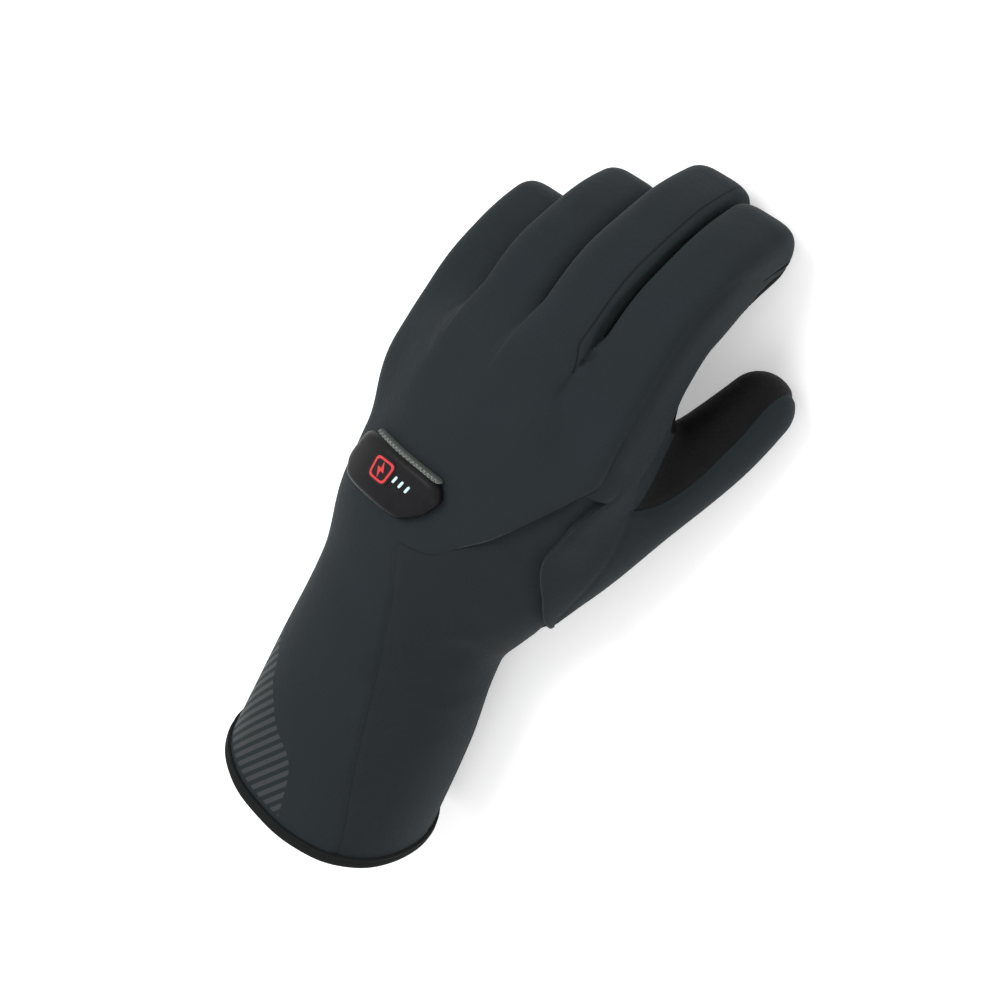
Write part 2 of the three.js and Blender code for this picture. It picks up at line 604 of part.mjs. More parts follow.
// A point over the back of the hand: around from the crest towards the little finger, along, and out from the cloth.
function onBack(around, y, out) {
  const steps = 60;
  const sweep = around < 0 ? -1 : 1;
  let angle = Math.PI / 2;
  let left = Math.abs(around);
  let here = bodyPoint(y, angle, 0);
  for (let i = 0; i < steps * 2 && left > 0; i += 1) {
    const next = bodyPoint(y, angle + (sweep * Math.PI) / (2 * steps), 0);
    const length = next.distanceTo(here);
    const share = Math.min(1, left / length);
    angle += (sweep * share * Math.PI) / (2 * steps);
    left -= length;
    here = bodyPoint(y, angle, 0);
  }
  const turn = 0.02;
  const round = bodyPoint(y, angle - turn, 0).sub(bodyPoint(y, angle + turn, 0));
  const ahead = bodyPoint(y + 0.5, angle, 0).sub(bodyPoint(y - 0.5, angle, 0));
  return here.addScaledVector(round.cross(ahead).normalize(), out);
}

// A cushion-like solid draped over the back: layers of an outline, each with its share of the full size and its height.
function draped(outline, layers) {
  const middle = outline.reduce((sum, p) => sum.add(p), new THREE.Vector2()).divideScalar(outline.length);
  return solid(
    skin(
      layers.map(({ share, out }) =>
        outline.map((p) => {
          const q = middle.clone().lerp(p, share);
          return onBack(q.x, q.y, out);
        }),
      ),
    ),
  );
}

// A polygon's outline with its corners rounded by short curves.
function rounded(corners, share, steps) {
  return corners.flatMap((corner, i) => {
    const before = corners[(i + corners.length - 1) % corners.length];
    const after = corners[(i + 1) % corners.length];
    const curve = new THREE.QuadraticBezierCurve(corner.clone().lerp(before, share), corner, corner.clone().lerp(after, share));
    return curve.getPoints(steps);
  });
}

// Corners of the control's outline, as shares of its length and width about its middle.
const POD_CORNERS = [
  { around: -0.4, along: 0.49 },
  { around: -0.5, along: 0.23 },
  { around: -0.44, along: -0.15 },
  { around: -0.3, along: -0.47 },
  { around: 0.38, along: -0.5 },
  { around: 0.5, along: -0.2 },
  { around: 0.46, along: 0.48 },
];
const podOutline = rounded(
  POD_CORNERS.map(({ around, along }) => new THREE.Vector2(POD_ROUND + around * POD_LENGTH, POD_ALONG + along * POD_WIDTH)),
  0.4,
  2,
);

// A rounded rectangle over the back, leaning by an angle.
function tablet(around, along, length, width, lean, grow) {
  const corners = [[-1, -1], [1, -1], [1, 1], [-1, 1]].map(([a, b]) =>
    new THREE.Vector2((a * (length + 2 * grow)) / 2, (b * (width + 2 * grow)) / 2)
      .rotateAround(new THREE.Vector2(), radians(lean))
      .add(new THREE.Vector2(around, along)),
  );
  return rounded(corners, 0.28, 1);
}

const inlays = [
  { name: "power_button", colour: COLOURS.button, shape: (grow) => tablet(BUTTON_ROUND, BUTTON_ALONG, BUTTON_SIZE, BUTTON_SIZE * 0.88, 8, grow) },
  ...Array.from({ length: LED_COUNT }, (_, i) => ({
    name: `led_bar_${i + 1}`,
    colour: COLOURS.led,
    shape: (grow) => tablet(LED_ROUND + (LED_COUNT - 1 - i) * LED_PITCH, LED_ALONG, LED_WIDTH, LED_LENGTH, 8, grow),
  })),
];
const flatLayers = (low, high) => [
  { share: 0.5, out: low },
  { share: 1, out: low },
  { share: 1, out: high },
  { share: 0.5, out: high },
];

// The control's housing, with a shallow pocket for each inlay.
function controlPod() {
  const layers = [
    { share: 0.35, out: POD_SEAT },
    { share: 0.7, out: POD_SEAT },
    { share: 1, out: POD_SEAT },
    { share: 1, out: 0.4 * POD_HEIGHT },
    { share: 0.96, out: 0.75 * POD_HEIGHT },
    { share: 0.88, out: 0.95 * POD_HEIGHT },
    { share: 0.65, out: POD_HEIGHT },
    { share: 0.35, out: POD_HEIGHT },
  ];
  const pockets = inlays.map(({ shape }) => draped(shape(SEAM_GAP), flatLayers(POD_HEIGHT - POCKET_DEPTH, 2 * POD_HEIGHT)));
  return draped(podOutline, layers).subtract(join(pockets));
}

// The grey piping that edges the control on the side of the fingers.
function podPiping() {
  const near = POD_ALONG + 0.49 * POD_WIDTH + 1.5 * SEAM_GAP;
  const stations = spread(POD_ROUND - 0.4 * POD_LENGTH, POD_ROUND + 0.37 * POD_LENGTH, 12);
  const rings = stations.map((around) => [
    onBack(around, near, POD_SEAT),
    onBack(around, near + PIPING_WIDTH, POD_SEAT),
    onBack(around, near + 0.8 * PIPING_WIDTH, PIPING_HEIGHT),
    onBack(around, near + 0.2 * PIPING_WIDTH, PIPING_HEIGHT + 0.4),
  ]);
  return solid(skin(rings));
}

const glove = new THREE.Group();
glove.name = "heated_glove";

// Adds one piece to the glove.
function piece(name, body, colour, roughness = 0.85, metalness = 0) {
  const { vertProperties, triVerts } = body.getMesh();
  const geometry = new THREE.BufferGeometry();
  geometry.setAttribute("position", new THREE.BufferAttribute(new Float32Array(vertProperties), 3));
  geometry.setIndex(Array.from(triVerts));
  const flat = geometry.toNonIndexed();
  flat.computeVertexNormals();
  const mesh = new THREE.Mesh(flat, new THREE.MeshStandardMaterial({ color: colour, roughness, metalness }));
  mesh.name = name;
  glove.add(mesh);
}

piece("back_panel", panels.intersect(aboveStrip).intersect(backZone), COLOURS.back);
piece(
  "thumb_panel",
  panels.intersect(abovePalm).intersect(thumbZone).subtract(aboveStripWide.intersect(backZoneWide)).subtract(blackZoneWide),
  COLOURS.thumbPanel,
);
piece("thumb_palm", panels.intersect(blackZone), COLOURS.thumbPalm);
piece(
  "palm_panel",
  panels.intersect(belowPalm).intersect(wristFront).subtract(thumbZoneWide.intersect(abovePalmWide)).subtract(blackZoneWide),
  COLOURS.palm,
);
["ring_little", "middle_ring", "index_middle"].forEach((name, k) => {
  piece(`fourchette_${name}`, panels.intersect(withinStrip).intersect(between(k)), COLOURS.fourchette);
});
piece("cuff_back", cuffCloth.intersect(aboveMiddle).subtract(backZoneWide).subtract(thumbZoneWide), COLOURS.cuffBack);
piece("cuff_palm", cuffCloth.intersect(belowMiddle).intersect(wristBack), COLOURS.cuffPalm);
piece("hem_binding", hemBinding(), COLOURS.hem, 0.9);
piece("control_pod", controlPod(), COLOURS.pod, 0.3);
piece("pod_piping", podPiping(), COLOURS.piping, 0.5);
inlays.forEach(({ name, colour, shape }) => {
  piece(name, draped(shape(0), flatLayers(POD_HEIGHT - POCKET_DEPTH + SEAM_GAP, POD_HEIGHT + 0.15)), colour, 0.4);
});

// The glove's frame stands in the middle of its footprint.
const footprint = new THREE.Box3().setFromObject(glove);
const middle = footprint.getCenter(new THREE.Vector3());
glove.position.set(-middle.x, -middle.y, 0);

export default glove;
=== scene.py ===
"""A padded heated glove for the left hand, lying palm down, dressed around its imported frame."""

import logging
import math
from dataclasses import dataclass, field
from enum import Enum
from typing import Callable, Sequence

import bmesh
import bpy
import numpy as np
from mathutils import Matrix, Vector

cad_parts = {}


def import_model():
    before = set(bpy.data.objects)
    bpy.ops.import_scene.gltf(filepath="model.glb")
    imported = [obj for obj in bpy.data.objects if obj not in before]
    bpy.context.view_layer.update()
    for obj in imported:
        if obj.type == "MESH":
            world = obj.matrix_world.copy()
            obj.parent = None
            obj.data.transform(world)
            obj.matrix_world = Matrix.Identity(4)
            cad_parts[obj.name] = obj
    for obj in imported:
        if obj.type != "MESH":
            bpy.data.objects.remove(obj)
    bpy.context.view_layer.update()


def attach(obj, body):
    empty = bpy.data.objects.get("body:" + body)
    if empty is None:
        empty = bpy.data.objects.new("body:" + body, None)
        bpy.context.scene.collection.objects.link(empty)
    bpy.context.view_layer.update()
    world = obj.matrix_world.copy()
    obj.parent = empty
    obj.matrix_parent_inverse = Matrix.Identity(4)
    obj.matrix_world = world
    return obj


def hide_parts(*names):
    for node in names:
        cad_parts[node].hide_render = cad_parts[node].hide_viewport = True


LOG = logging.getLogger("heated_glove")
MM = 0.001
Array = np.ndarray
FOOTPRINT_MIDDLE = np.array([8.155, 128.947, 0.0])  # the hem's frame lies this far off the row's frame, in mm


def smooth01(x: Array) -> Array:
    """Rises from 0 to 1 as x does, with level ends: 3x^2 - 2x^3."""
    t = np.clip(x, 0.0, 1.0)
    return t * t * (3.0 - 2.0 * t)


def bump01(distance: Array, reach: float) -> Array:
    """A round hump of height 1 that ends at the reach: (1 - (d / reach)^2)^2."""
    share = np.clip(np.abs(distance) / reach, 0.0, 1.0)
    return (1.0 - share**2) ** 2


def blend_low(a: Array, b: Array, width: float) -> Array:
    """Joins two solids' fields with a fillet: the lower value, less h^2 k / 4 within the width k."""
    h = np.maximum(width - np.abs(a - b), 0.0) / width
    return np.minimum(a, b) - h * h * width * 0.25


def blend_high(a: Array, b: Array, width: float) -> Array:
    """Keeps what two solids share, with a rounded edge."""
    return -blend_low(-a, -b, width)


def through(places: Array, rows: Array, at: Array) -> Array:
    """Smooth curve through a table: cubic pieces whose slope at a row is that of its two neighbours.

    Args:
        places: where the rows are, rising.
        rows: one row of columns for each place.
        at: where the curve is read.
    Returns:
        The columns at each of those places, with the columns last.
    """
    slopes = np.empty_like(rows)
    slopes[1:-1] = (rows[2:] - rows[:-2]) / (places[2:] - places[:-2])[:, None]
    slopes[0] = (rows[1] - rows[0]) / (places[1] - places[0])
    slopes[-1] = (rows[-1] - rows[-2]) / (places[-1] - places[-2])
    x = np.clip(at, places[0], places[-1])
    i = np.clip(np.searchsorted(places, x, side="right") - 1, 0, len(places) - 2)
    step = (places[i + 1] - places[i])[..., None]
    t = (x - places[i])[..., None] / step
    start = rows[i] * (1 + 2 * t) * (1 - t) ** 2 + step * slopes[i] * t * (1 - t) ** 2
    return start + rows[i + 1] * t * t * (3 - 2 * t) + step * slopes[i + 1] * t * t * (t - 1)


def unit(vectors: Array) -> Array:
    """Vectors brought to length one."""
    return vectors / np.maximum(np.linalg.norm(vectors, axis=-1, keepdims=True), 1e-9)


@dataclass
class SeamPath:
    """An open path in a plane, with a signed distance from it: positive to the left of its heading."""

    corners: Array
    finest: float = 1.5

    def __post_init__(self) -> None:
        """Draws a smooth line through the corners."""
        corners = np.asarray(self.corners, float)
        steps = np.linalg.norm(np.diff(corners, axis=0), axis=1)
        places = np.concatenate([[0.0], np.cumsum(steps)])
        count = max(len(corners), int(places[-1] / self.finest))
        self.length = places[-1]
        self.along = np.linspace(0.0, places[-1], count)
        self.line = through(places, corners, self.along)

    def measure(self, points: Array) -> tuple[Array, Array]:
        """Signed distance and place along the path, from the nearest stretch of it.

        Args:
            points: places in the path's plane.
        Returns:
            The distances, positive to the left, and how far along the path each nearest place is.
        """
        near = np.full(len(points), 1e9)
        side = np.zeros(len(points))
        along = np.zeros(len(points))
        last = len(self.line) - 2
        for i in range(last + 1):
            a, b = self.line[i], self.line[i + 1]
            heading = b - a
            span = float(heading @ heading)
            rel = points - a
            low = -1e3 if i == 0 else 0.0
            high = 1e3 if i == last else 1.0
            t = np.clip(rel @ heading / span, low, high)
            away = rel - t[:, None] * heading
            d = np.hypot(away[:, 0], away[:, 1])
            closer = d < near - 1e-9
            cross = heading[0] * rel[:, 1] - heading[1] * rel[:, 0]
            near = np.where(closer, d, near)
            side = np.where(closer, np.sign(cross), side)
            along = np.where(closer, self.along[i] + t * math.sqrt(span), along)
        return near * side, along


@dataclass(frozen=True)
class FingerSize:
    """One finger: its knuckle, its lengths, bends and splay, and its radii, in mm and degrees."""

    name: str
    knuckle: tuple[float, float, float]
    splay: float
    lengths: tuple[float, float, float]
    bends: tuple[float, float, float]
    root: float
    tip: float


@dataclass
class GloveForm:
    """The glove's outside in mm: +Y to the fingertips, +X to the thumb, +Z up from where it lies."""

    length: float = 196.0
    width: float = 96.0
    height: float = 66.0
    pitch: float = 4.7
    power: float = 2.2
    wall: float = 3.0
    cuff_step: float = 1.0
    hem_ahead: float = 11.7
    hem_back: float = 10.0
    hem_slant: float = 0.104
    hem_fade: float = 70.0
    front_slant: float = 0.25
    bend_length: float = 22.0
    root_reach: float = 20.0
    # place along, half width, top, bottom and place across, as shares of the length, width and height
    sections: Array = field(default_factory=lambda: np.array([
        (0.000, 0.410, 1.015, -0.05, -0.060),
        (0.230, 0.402, 0.960, -0.05, -0.085),
        (0.434, 0.388, 0.910, 0.010, -0.108),
        (0.571, 0.446, 0.930, 0.080, -0.092),
        (0.714, 0.490, 0.972, 0.155, -0.028),
        (0.842, 0.501, 0.990, 0.235, -0.018),
        (0.929, 0.480, 0.975, 0.285, -0.024),
        (1.000, 0.452, 0.920, 0.360, -0.036),
    ]))
    fingers: tuple[FingerSize, ...] = (
        FingerSize("little", (-38.0, 152.7, 42.6), -3.4, (38.0, 22.0, 19.6), (15.0, 23.0, 16.0), 13.1, 10.7),
        FingerSize("ring", (-17.7, 163.7, 49.0), -1.1, (44.0, 27.2, 20.4), (18.3, 28.3, 19.3), 13.3, 10.6),
        FingerSize("middle", (6.0, 169.5, 52.8), 1.0, (48.0, 30.0, 24.0), (18.2, 27.2, 20.2), 13.0, 11.3),
        FingerSize("index", (30.8, 166.9, 49.0), -0.6, (46.0, 27.0, 24.0), (14.6, 23.6, 17.6), 14.6, 11.2),
    )
    # x, y, z and radius along the thumb, in mm
    thumb: Array = field(default_factory=lambda: np.array([
        (14.7, 102.8, 30.9, 18.5),
        (31.0, 129.0, 29.1, 16.1),
        (41.1, 155.0, 24.1, 15.0),
        (52.6, 185.0, 16.6, 13.2),
        (60.6, 212.6, 11.4, 10.2),
    ]))
    finger_round: float = 11.0
    slit: float = 0.8
    shoulder: float = 1.6
    finger_power: float = 4.0
    crotch: float = 182.3
    web_width: float = 12.0
    knuckle_fillet: float = 7.0
    thumb_fillet: float = 9.0

    def __post_init__(self) -> None:
        """Works out the middle lines once."""
        self.finger_lines = [self._finger_line(f) for f in self.fingers]
        self.thumb_line = self._thumb_line()

    def section(self, y: Array) -> tuple[Array, Array, Array, Array]:
        """Half width, middle height, half height and place across of the hand at a distance along it."""
        columns = through(self.sections[:, 0], self.sections[:, 1:], y / self.length)
        half, top, bottom, across = np.moveaxis(columns, -1, 0)
        middle, rise = (top + bottom) / 2, (top - bottom) / 2
        return half * self.width, middle * self.height, rise * self.height, across * self.width

    def cloth_step(self, y: Array) -> Array:
        """How far the cloth lies under the full form: the cuff's step behind the wrist, then nothing."""
        return self.cuff_step * (1.0 - smooth01((y / self.length - 0.43) / 0.12))

    def step_back(self, x: Array) -> Array:
        """How far the crotches step back at a place across the hand."""
        return self.front_slant * np.maximum(0.0, self.fingers[2].knuckle[0] - x)

    def datum(self, p: Array) -> Array:
        """Distance of a point along the glove, with the hem's lean and the crotches' slant taken out."""
        x, y, z = p[..., 0], p[..., 1], p[..., 2]
        _, middle, rise, _ = self.section(y)
        up = np.clip((z - middle) / rise, -1.0, 1.0)
        lean = self.hem_ahead - self.hem_slant * x - self.hem_back * up
        near_hem = (y - lean) / (1.0 - lean / self.hem_fade)
        back = self.step_back(x)
        ahead = back * smooth01(((y + back) / self.length - 0.7) / 0.3)
        return np.where(y < self.hem_fade, near_hem, y + ahead)

    def hand(self, p: Array) -> Array:
        """Field of the hand and cuff: a rounded section's level over its slope, closed by a round front."""
        y0 = self.datum(p)
        half, middle, rise, across = self.section(y0)
        u = np.abs(p[..., 0] - across) / half
        v = np.abs(p[..., 2] - middle) / rise
        k = self.power
        level = np.maximum((u**k + v**k) ** (1 / k), 1e-6)
        slope = np.hypot((u / level) ** (k - 1) / half, (v / level) ** (k - 1) / rise)
        around = (level - 1.0) / np.maximum(slope, 1e-6)
        return blend_high(around, y0 - self.length - 3.0, 16.0)

    def _finger_line(self, f: FingerSize) -> tuple[Array, Array, Array]:
        """A finger's middle line, its radii and its places along; the line turns down at three joints."""
        total = sum(f.lengths)
        s = np.arange(-self.root_reach, total - self.finger_round + 0.01, 1.0)
        joints = (0.0, f.lengths[0], f.lengths[0] + f.lengths[1])
        pitch = np.full_like(s, math.radians(self.pitch))
        for joint, bend in zip(joints, f.bends):
            pitch -= math.radians(bend) * smooth01((s - joint) / self.bend_length + 0.5)
        ahead = np.concatenate([[0.0], np.cumsum((np.cos(pitch[1:]) + np.cos(pitch[:-1])) / 2)])
        rise = np.concatenate([[0.0], np.cumsum((np.sin(pitch[1:]) + np.sin(pitch[:-1])) / 2)])
        zero = int(self.root_reach)
        ahead -= ahead[zero]
        rise -= rise[zero]
        splay = math.radians(f.splay)
        x, y, z = f.knuckle
        line = np.stack([x + math.sin(splay) * ahead, y + math.cos(splay) * ahead, z + rise], 1)
        share = np.clip(s / total, 0.0, 1.0)
        ease = 0.55 + 0.45 * smooth01((s + self.root_reach) / (1.5 * self.root_reach))
        radius = (f.root + (f.tip - f.root) * share) * ease
        return line, radius, s

    def _thumb_line(self) -> tuple[Array, Array]:
        """The thumb's middle line and radii, ended where its round tip begins."""
        places = np.linspace(0.0, 1.0, len(self.thumb))
        rows = through(places, self.thumb, np.linspace(0.0, 1.0, 120))
        left = np.linalg.norm(rows[:, :3] - rows[-1, :3], axis=1)
        rows = rows[left > 11.0]
        return rows[:, :3], rows[:, 3]

    def finger_across(self, k: int, y: Array) -> Array:
        """Place across of a finger's middle line at a distance along."""
        f = self.fingers[k]
        return f.knuckle[0] + math.tan(math.radians(f.splay)) * (y - f.knuckle[1])

    def valley_across(self, k: int, y: Array) -> Array:
        """Place across of the valley between finger k and the next one towards the thumb."""
        return (self.finger_across(k, y) + self.finger_across(k + 1, y)) / 2

    @staticmethod
    def beads(p: Array, line: Array, radius: Array, power: float = 2.0) -> Array:
        """Field of beads along a line: the least level, (|x|^k + |yz|^k)^(1/k) less the bead's radius."""
        best = np.full(p.shape[0], 1e9, np.float32)
        q = p.astype(np.float32)
        k = np.float32(power)
        for centre, r in zip(line.astype(np.float32), radius):
            d = q - centre
            ring = d[:, 1] ** 2 + d[:, 2] ** 2
            if power == 2.0:
                level = np.sqrt(d[:, 0] ** 2 + ring)
            else:
                level = (np.abs(d[:, 0]) ** k + ring ** (k / 2)) ** (1 / k)
            best = np.minimum(best, level - np.float32(r))
        return best.astype(float)

    def finger(self, k: int, p: Array) -> Array:
        """Field of one finger, cut flat beside its neighbours with rounded shoulders."""
        line, radius, _ = self.finger_lines[k]
        d = self.beads(p, line, radius, self.finger_power)
        x, y = p[:, 0], p[:, 1]
        if k > 0:
            d = blend_high(d, self.valley_across(k - 1, y) + self.slit - x, self.shoulder)
        if k < 3:
            d = blend_high(d, x - self.valley_across(k, y) + self.slit, self.shoulder)
        return d

    def value(self, p: Array) -> Array:
        """Field of the whole glove: hand, fingers and thumb joined with fillets, and flat where it rests.

        Args:
            p: points in mm, one a row.
        Returns:
            About the distance outside the surface, negative inside.
        """
        hand = self.hand(p)
        best = np.full(len(p), 1e3)
        for k, (line, radius, _) in enumerate(self.finger_lines):
            near = self._near(p, line, radius.max() + 12.0)
            start = self.crotch - self.step_back(self.valley_across(max(k - 1, 0), self.crotch))
            width = 0.01 + self.web_width * (1.0 - smooth01((p[near, 1] - start + 9.0) / 11.0))
            best[near] = blend_low(best[near], self.finger(k, p[near]), width)
        line, radius = self.thumb_line
        near = self._near(p, line, radius.max() + 14.0)
        thumb = np.full(len(p), 1e3)
        thumb[near] = self.beads(p[near], line, radius)
        d = blend_low(hand, best, self.knuckle_fillet)
        d = blend_low(d, thumb, self.thumb_fillet)
        return blend_high(d, -(p[:, 2] + self.cloth_step(p[:, 1])), 1.2)

    @staticmethod
    def _near(p: Array, line: Array, reach: float) -> Array:
        """Which points lie within a reach of a line's box."""
        return np.all((p > line.min(0) - reach) & (p < line.max(0) + reach), axis=1)

    def slope(self, p: Array) -> Array:
        """Direction in which the field rises, from small differences."""
        e = 0.15
        steps = np.eye(3) * e
        return np.stack([self.value(p + s) - self.value(p - s) for s in steps], -1) / (2 * e)

    def middle_height(self, p: Array) -> Array:
        """Height halfway between back and palm: the hand's middle, then the fingers' middle lines."""
        x, y = p[:, 0], p[:, 1]
        heights, places = [], []
        for k, (line, _, _) in enumerate(self.finger_lines):
            root = (line[1, 2] - line[0, 2]) / (line[1, 1] - line[0, 1])
            low = line[0, 2] + root * np.minimum(y - line[0, 1], 0.0)
            steep = (line[-1, 2] - line[-2, 2]) / (line[-1, 1] - line[-2, 1])
            high = np.maximum(y - line[-1, 1], 0.0) * steep
            heights.append(np.interp(y, line[:, 1], line[:, 2]) + (low - line[0, 2]) + high)
            places.append(self.finger_across(k, y))
        fingers = heights[0]
        for k in range(3):
            share = np.clip((x - places[k]) / (places[k + 1] - places[k]), 0.0, 1.0)
            fingers = np.where(x > places[k], heights[k] * (1 - share) + heights[k + 1] * share, fingers)
        share = smooth01((y / self.length - 0.78) / 0.18)
        return self.section(y)[1] * (1 - share) + fingers * share

    def hand_point(self, y: Array, angle: Array, offset: Array) -> Array:
        """A point of the hand's section at an angle, grown by an offset: sign(c)|c|^(2/k) each way."""
        y, angle, offset = np.broadcast_arrays(np.asarray(y, float), angle, offset)
        half, middle, rise, across = self.section(y)
        side = np.sign(np.cos(angle)) * np.abs(np.cos(angle)) ** (2 / self.power)
        up = np.sign(np.sin(angle)) * np.abs(np.sin(angle)) ** (2 / self.power)
        x = across + (half + offset) * side
        z = np.maximum(middle + (rise + offset) * up, np.maximum(0.0, -offset - self.cuff_step))
        fade = np.clip(1.0 - y / self.hem_fade, 0.0, 1.0)
        hem = fade * (self.hem_ahead - self.hem_slant * x - self.hem_back * up)
        return np.stack([x, y + hem, z], -1)

    def on_back(self, around: Array, y: Array, out: Array) -> Array:
        """A point over the back of the hand, by a walk around its section from the crest.

        Args:
            around: arc length from the crest towards the little finger, in mm.
            y: distance along.
            out: height over the cloth.
        Returns:
            The points.
        """
        around, y, out = np.broadcast_arrays(np.asarray(around, float), y, out)
        sweep = np.where(around < 0, -1.0, 1.0)
        angle = np.full(around.shape, math.pi / 2)
        left = np.abs(around).astype(float)
        turn = math.pi / 120
        here = self.hand_point(y, angle, 0.0)
        for _ in range(60):
            after = self.hand_point(y, angle + sweep * turn, 0.0)
            step = np.maximum(np.linalg.norm(after - here, axis=-1), 1e-9)
            share = np.clip(left / step, 0.0, 1.0)
            angle = angle + sweep * share * turn
            left = np.maximum(left - step, 0.0)
            here = self.hand_point(y, angle, 0.0)
        tilt = 0.02
        across = self.hand_point(y, angle - tilt, 0.0) - self.hand_point(y, angle + tilt, 0.0)
        ahead = self.hand_point(y + 0.5, angle, 0.0) - self.hand_point(y - 0.5, angle, 0.0)
        return here + unit(np.cross(across, ahead)) * out[..., None]


def surface_net(values: Array, low: Array, step: float) -> tuple[Array, Array]:
    """Quads around the nought level of a sampled field: one point in each cell that the level crosses.

    A cell's point is the mean of the places where the level crosses its edges, and each grid edge that is
    crossed gets the quad of its four cells.

    Args:
        values: samples on a regular grid.
        low: the grid's first corner.
        step: its spacing.
    Returns:
        The points and the quads, which face where the field rises.
    """
    inside = values < 0
    shape = np.array(values.shape) - 1
    corners = [(i, j, k) for i in (0, 1) for j in (0, 1) for k in (0, 1)]
    count = np.zeros(shape, np.int8)
    for i, j, k in corners:
        count += inside[i:shape[0] + i, j:shape[1] + j, k:shape[2] + k]
    cells = np.argwhere((count > 0) & (count < 8))
    index = np.full(shape, -1, np.int64)
    index[tuple(cells.T)] = np.arange(len(cells))
    held = np.stack([values[tuple((cells + c).T)] for c in corners], 1)
    total = np.zeros((len(cells), 3))
    hits = np.zeros(len(cells))
    for a, b in ((a, b) for a in range(8) for b in range(a + 1, 8)):
        ca, cb = np.array(corners[a]), np.array(corners[b])
        if np.abs(ca - cb).sum() != 1:
            continue
        va, vb = held[:, a], held[:, b]
        crossed = (va < 0) != (vb < 0)
        t = np.where(crossed, va / np.where(crossed, va - vb, 1.0), 0.0)
        total += np.where(crossed[:, None], ca + (cb - ca) * t[:, None], 0.0)
        hits += crossed
    points = low + (cells + total / hits[:, None]) * step
    quads = []
    for axis in range(3):
        b, c = (axis + 1) % 3, (axis + 2) % 3
        ends = [slice(None)] * 3
        ends[axis] = slice(None, -1)
        starts = [slice(None)] * 3
        starts[axis] = slice(1, None)
        first, second = inside[tuple(ends)], inside[tuple(starts)]
        for rising in (True, False):
            edges = np.argwhere((first != second) & (first == rising))
            fits = (edges[:, b] > 0) & (edges[:, c] > 0) & (edges[:, b] < shape[b]) & (edges[:, c] < shape[c])
            edges = edges[fits]
            around = []
            for db, dc in ((-1, -1), (0, -1), (0, 0), (-1, 0)):
                cell = edges.copy()
                cell[:, b] += db
                cell[:, c] += dc
                around.append(index[tuple(cell.T)])
            quad = np.stack(around, 1)
            quads.append(quad if rising else quad[:, ::-1])
    return points, np.concatenate(quads)


def halve_quads(points: Array, quads: Array) -> Array:
    """Triangles from quads, each cut along its shorter diagonal."""
    a, b, c, d = (points[quads[:, k]] for k in range(4))
    short = np.linalg.norm(a - c, axis=1) <= np.linalg.norm(b - d, axis=1)
    one = np.where(short[:, None], quads[:, [0, 1, 2]], quads[:, [0, 1, 3]])
    two = np.where(short[:, None], quads[:, [0, 2, 3]], quads[:, [1, 2, 3]])
    return np.concatenate([one, two])


def cut_along(points: Array, faces: Array, level: Callable[[Array], Array],
              label: Callable[[Array], Array] | None = None) -> tuple[Array, Array]:
    """Splits the triangles that a level line runs through, so that the line runs along edges.

    Points close to the line are first moved onto it, and then each crossed edge gets a point where the level
    is nought. An edge is left whole where both its sides have the same label.

    Args:
        points: the mesh's points.
        faces: its triangles.
        level: the value whose nought line is cut.
        label: what each place belongs to, or nothing to cut everywhere.
    Returns:
        The new points and triangles.
    """
    points = points.copy()
    value = level(points)
    pairs = np.concatenate([faces[:, [0, 1]], faces[:, [1, 2]], faces[:, [2, 0]]])
    edges = np.unique(np.sort(pairs, axis=1), axis=0)
    edges = edges[value[edges[:, 0]] * value[edges[:, 1]] < 0]
    a, b = edges.T
    t = value[a] / (value[a] - value[b])
    hit = points[a] + (points[b] - points[a]) * t[:, None]
    if label is not None:
        sides = [label(hit + (points[end] - hit) * 0.6) for end in (a, b)]
        used = sides[0] != sides[1]
        edges, a, b, t, hit = edges[used], a[used], b[used], t[used], hit[used]
    for near, end in ((t < 0.2, a), (t > 0.8, b)):
        points[end[near]] = hit[near]
        value[end[near]] = 0.0
    edges = edges[value[edges[:, 0]] * value[edges[:, 1]] < 0]
    a, b = edges.T
    t = value[a] / (value[a] - value[b])
    made = points[a] + (points[b] - points[a]) * t[:, None]
    size = len(points) + 1
    key = a.astype(np.int64) * size + b
    order = np.argsort(key)
    sorted_key = key[order]

    def middle(p: Array, q: Array) -> Array:
        """Index of the new point on each edge, or -1."""
        want = np.minimum(p, q).astype(np.int64) * size + np.maximum(p, q)
        place = np.clip(np.searchsorted(sorted_key, want), 0, max(len(key) - 1, 0))
        found = sorted_key[place] == want if len(key) else np.zeros(len(want), bool)
        return np.where(found, len(points) + order[place] if len(key) else -1, -1)

    split = np.stack([middle(faces[:, k], faces[:, (k + 1) % 3]) for k in range(3)], 1)
    count = (split >= 0).sum(1)
    out = [faces[count == 0]]
    one, made_one = faces[count == 1], split[count == 1]
    side = np.argmax(made_one >= 0, axis=1)
    rows = np.arange(len(one))
    f1, f2, f0 = (one[rows, (side + k) % 3] for k in range(3))
    m = made_one[rows, side]
    out += [np.stack([f0, f1, m], 1), np.stack([f0, m, f2], 1)]
    two, made_two = faces[count == 2], split[count == 2]
    bare = np.argmax(made_two < 0, axis=1)
    rows = np.arange(len(two))
    f1, f2, f0 = (two[rows, (bare + k) % 3] for k in range(3))
    n, m = made_two[rows, (bare + 1) % 3], made_two[rows, (bare + 2) % 3]
    out += [np.stack([f0, m, n], 1), np.stack([m, f1, f2], 1), np.stack([m, f2, n], 1)]
    return np.concatenate([points, made]), np.concatenate(out)


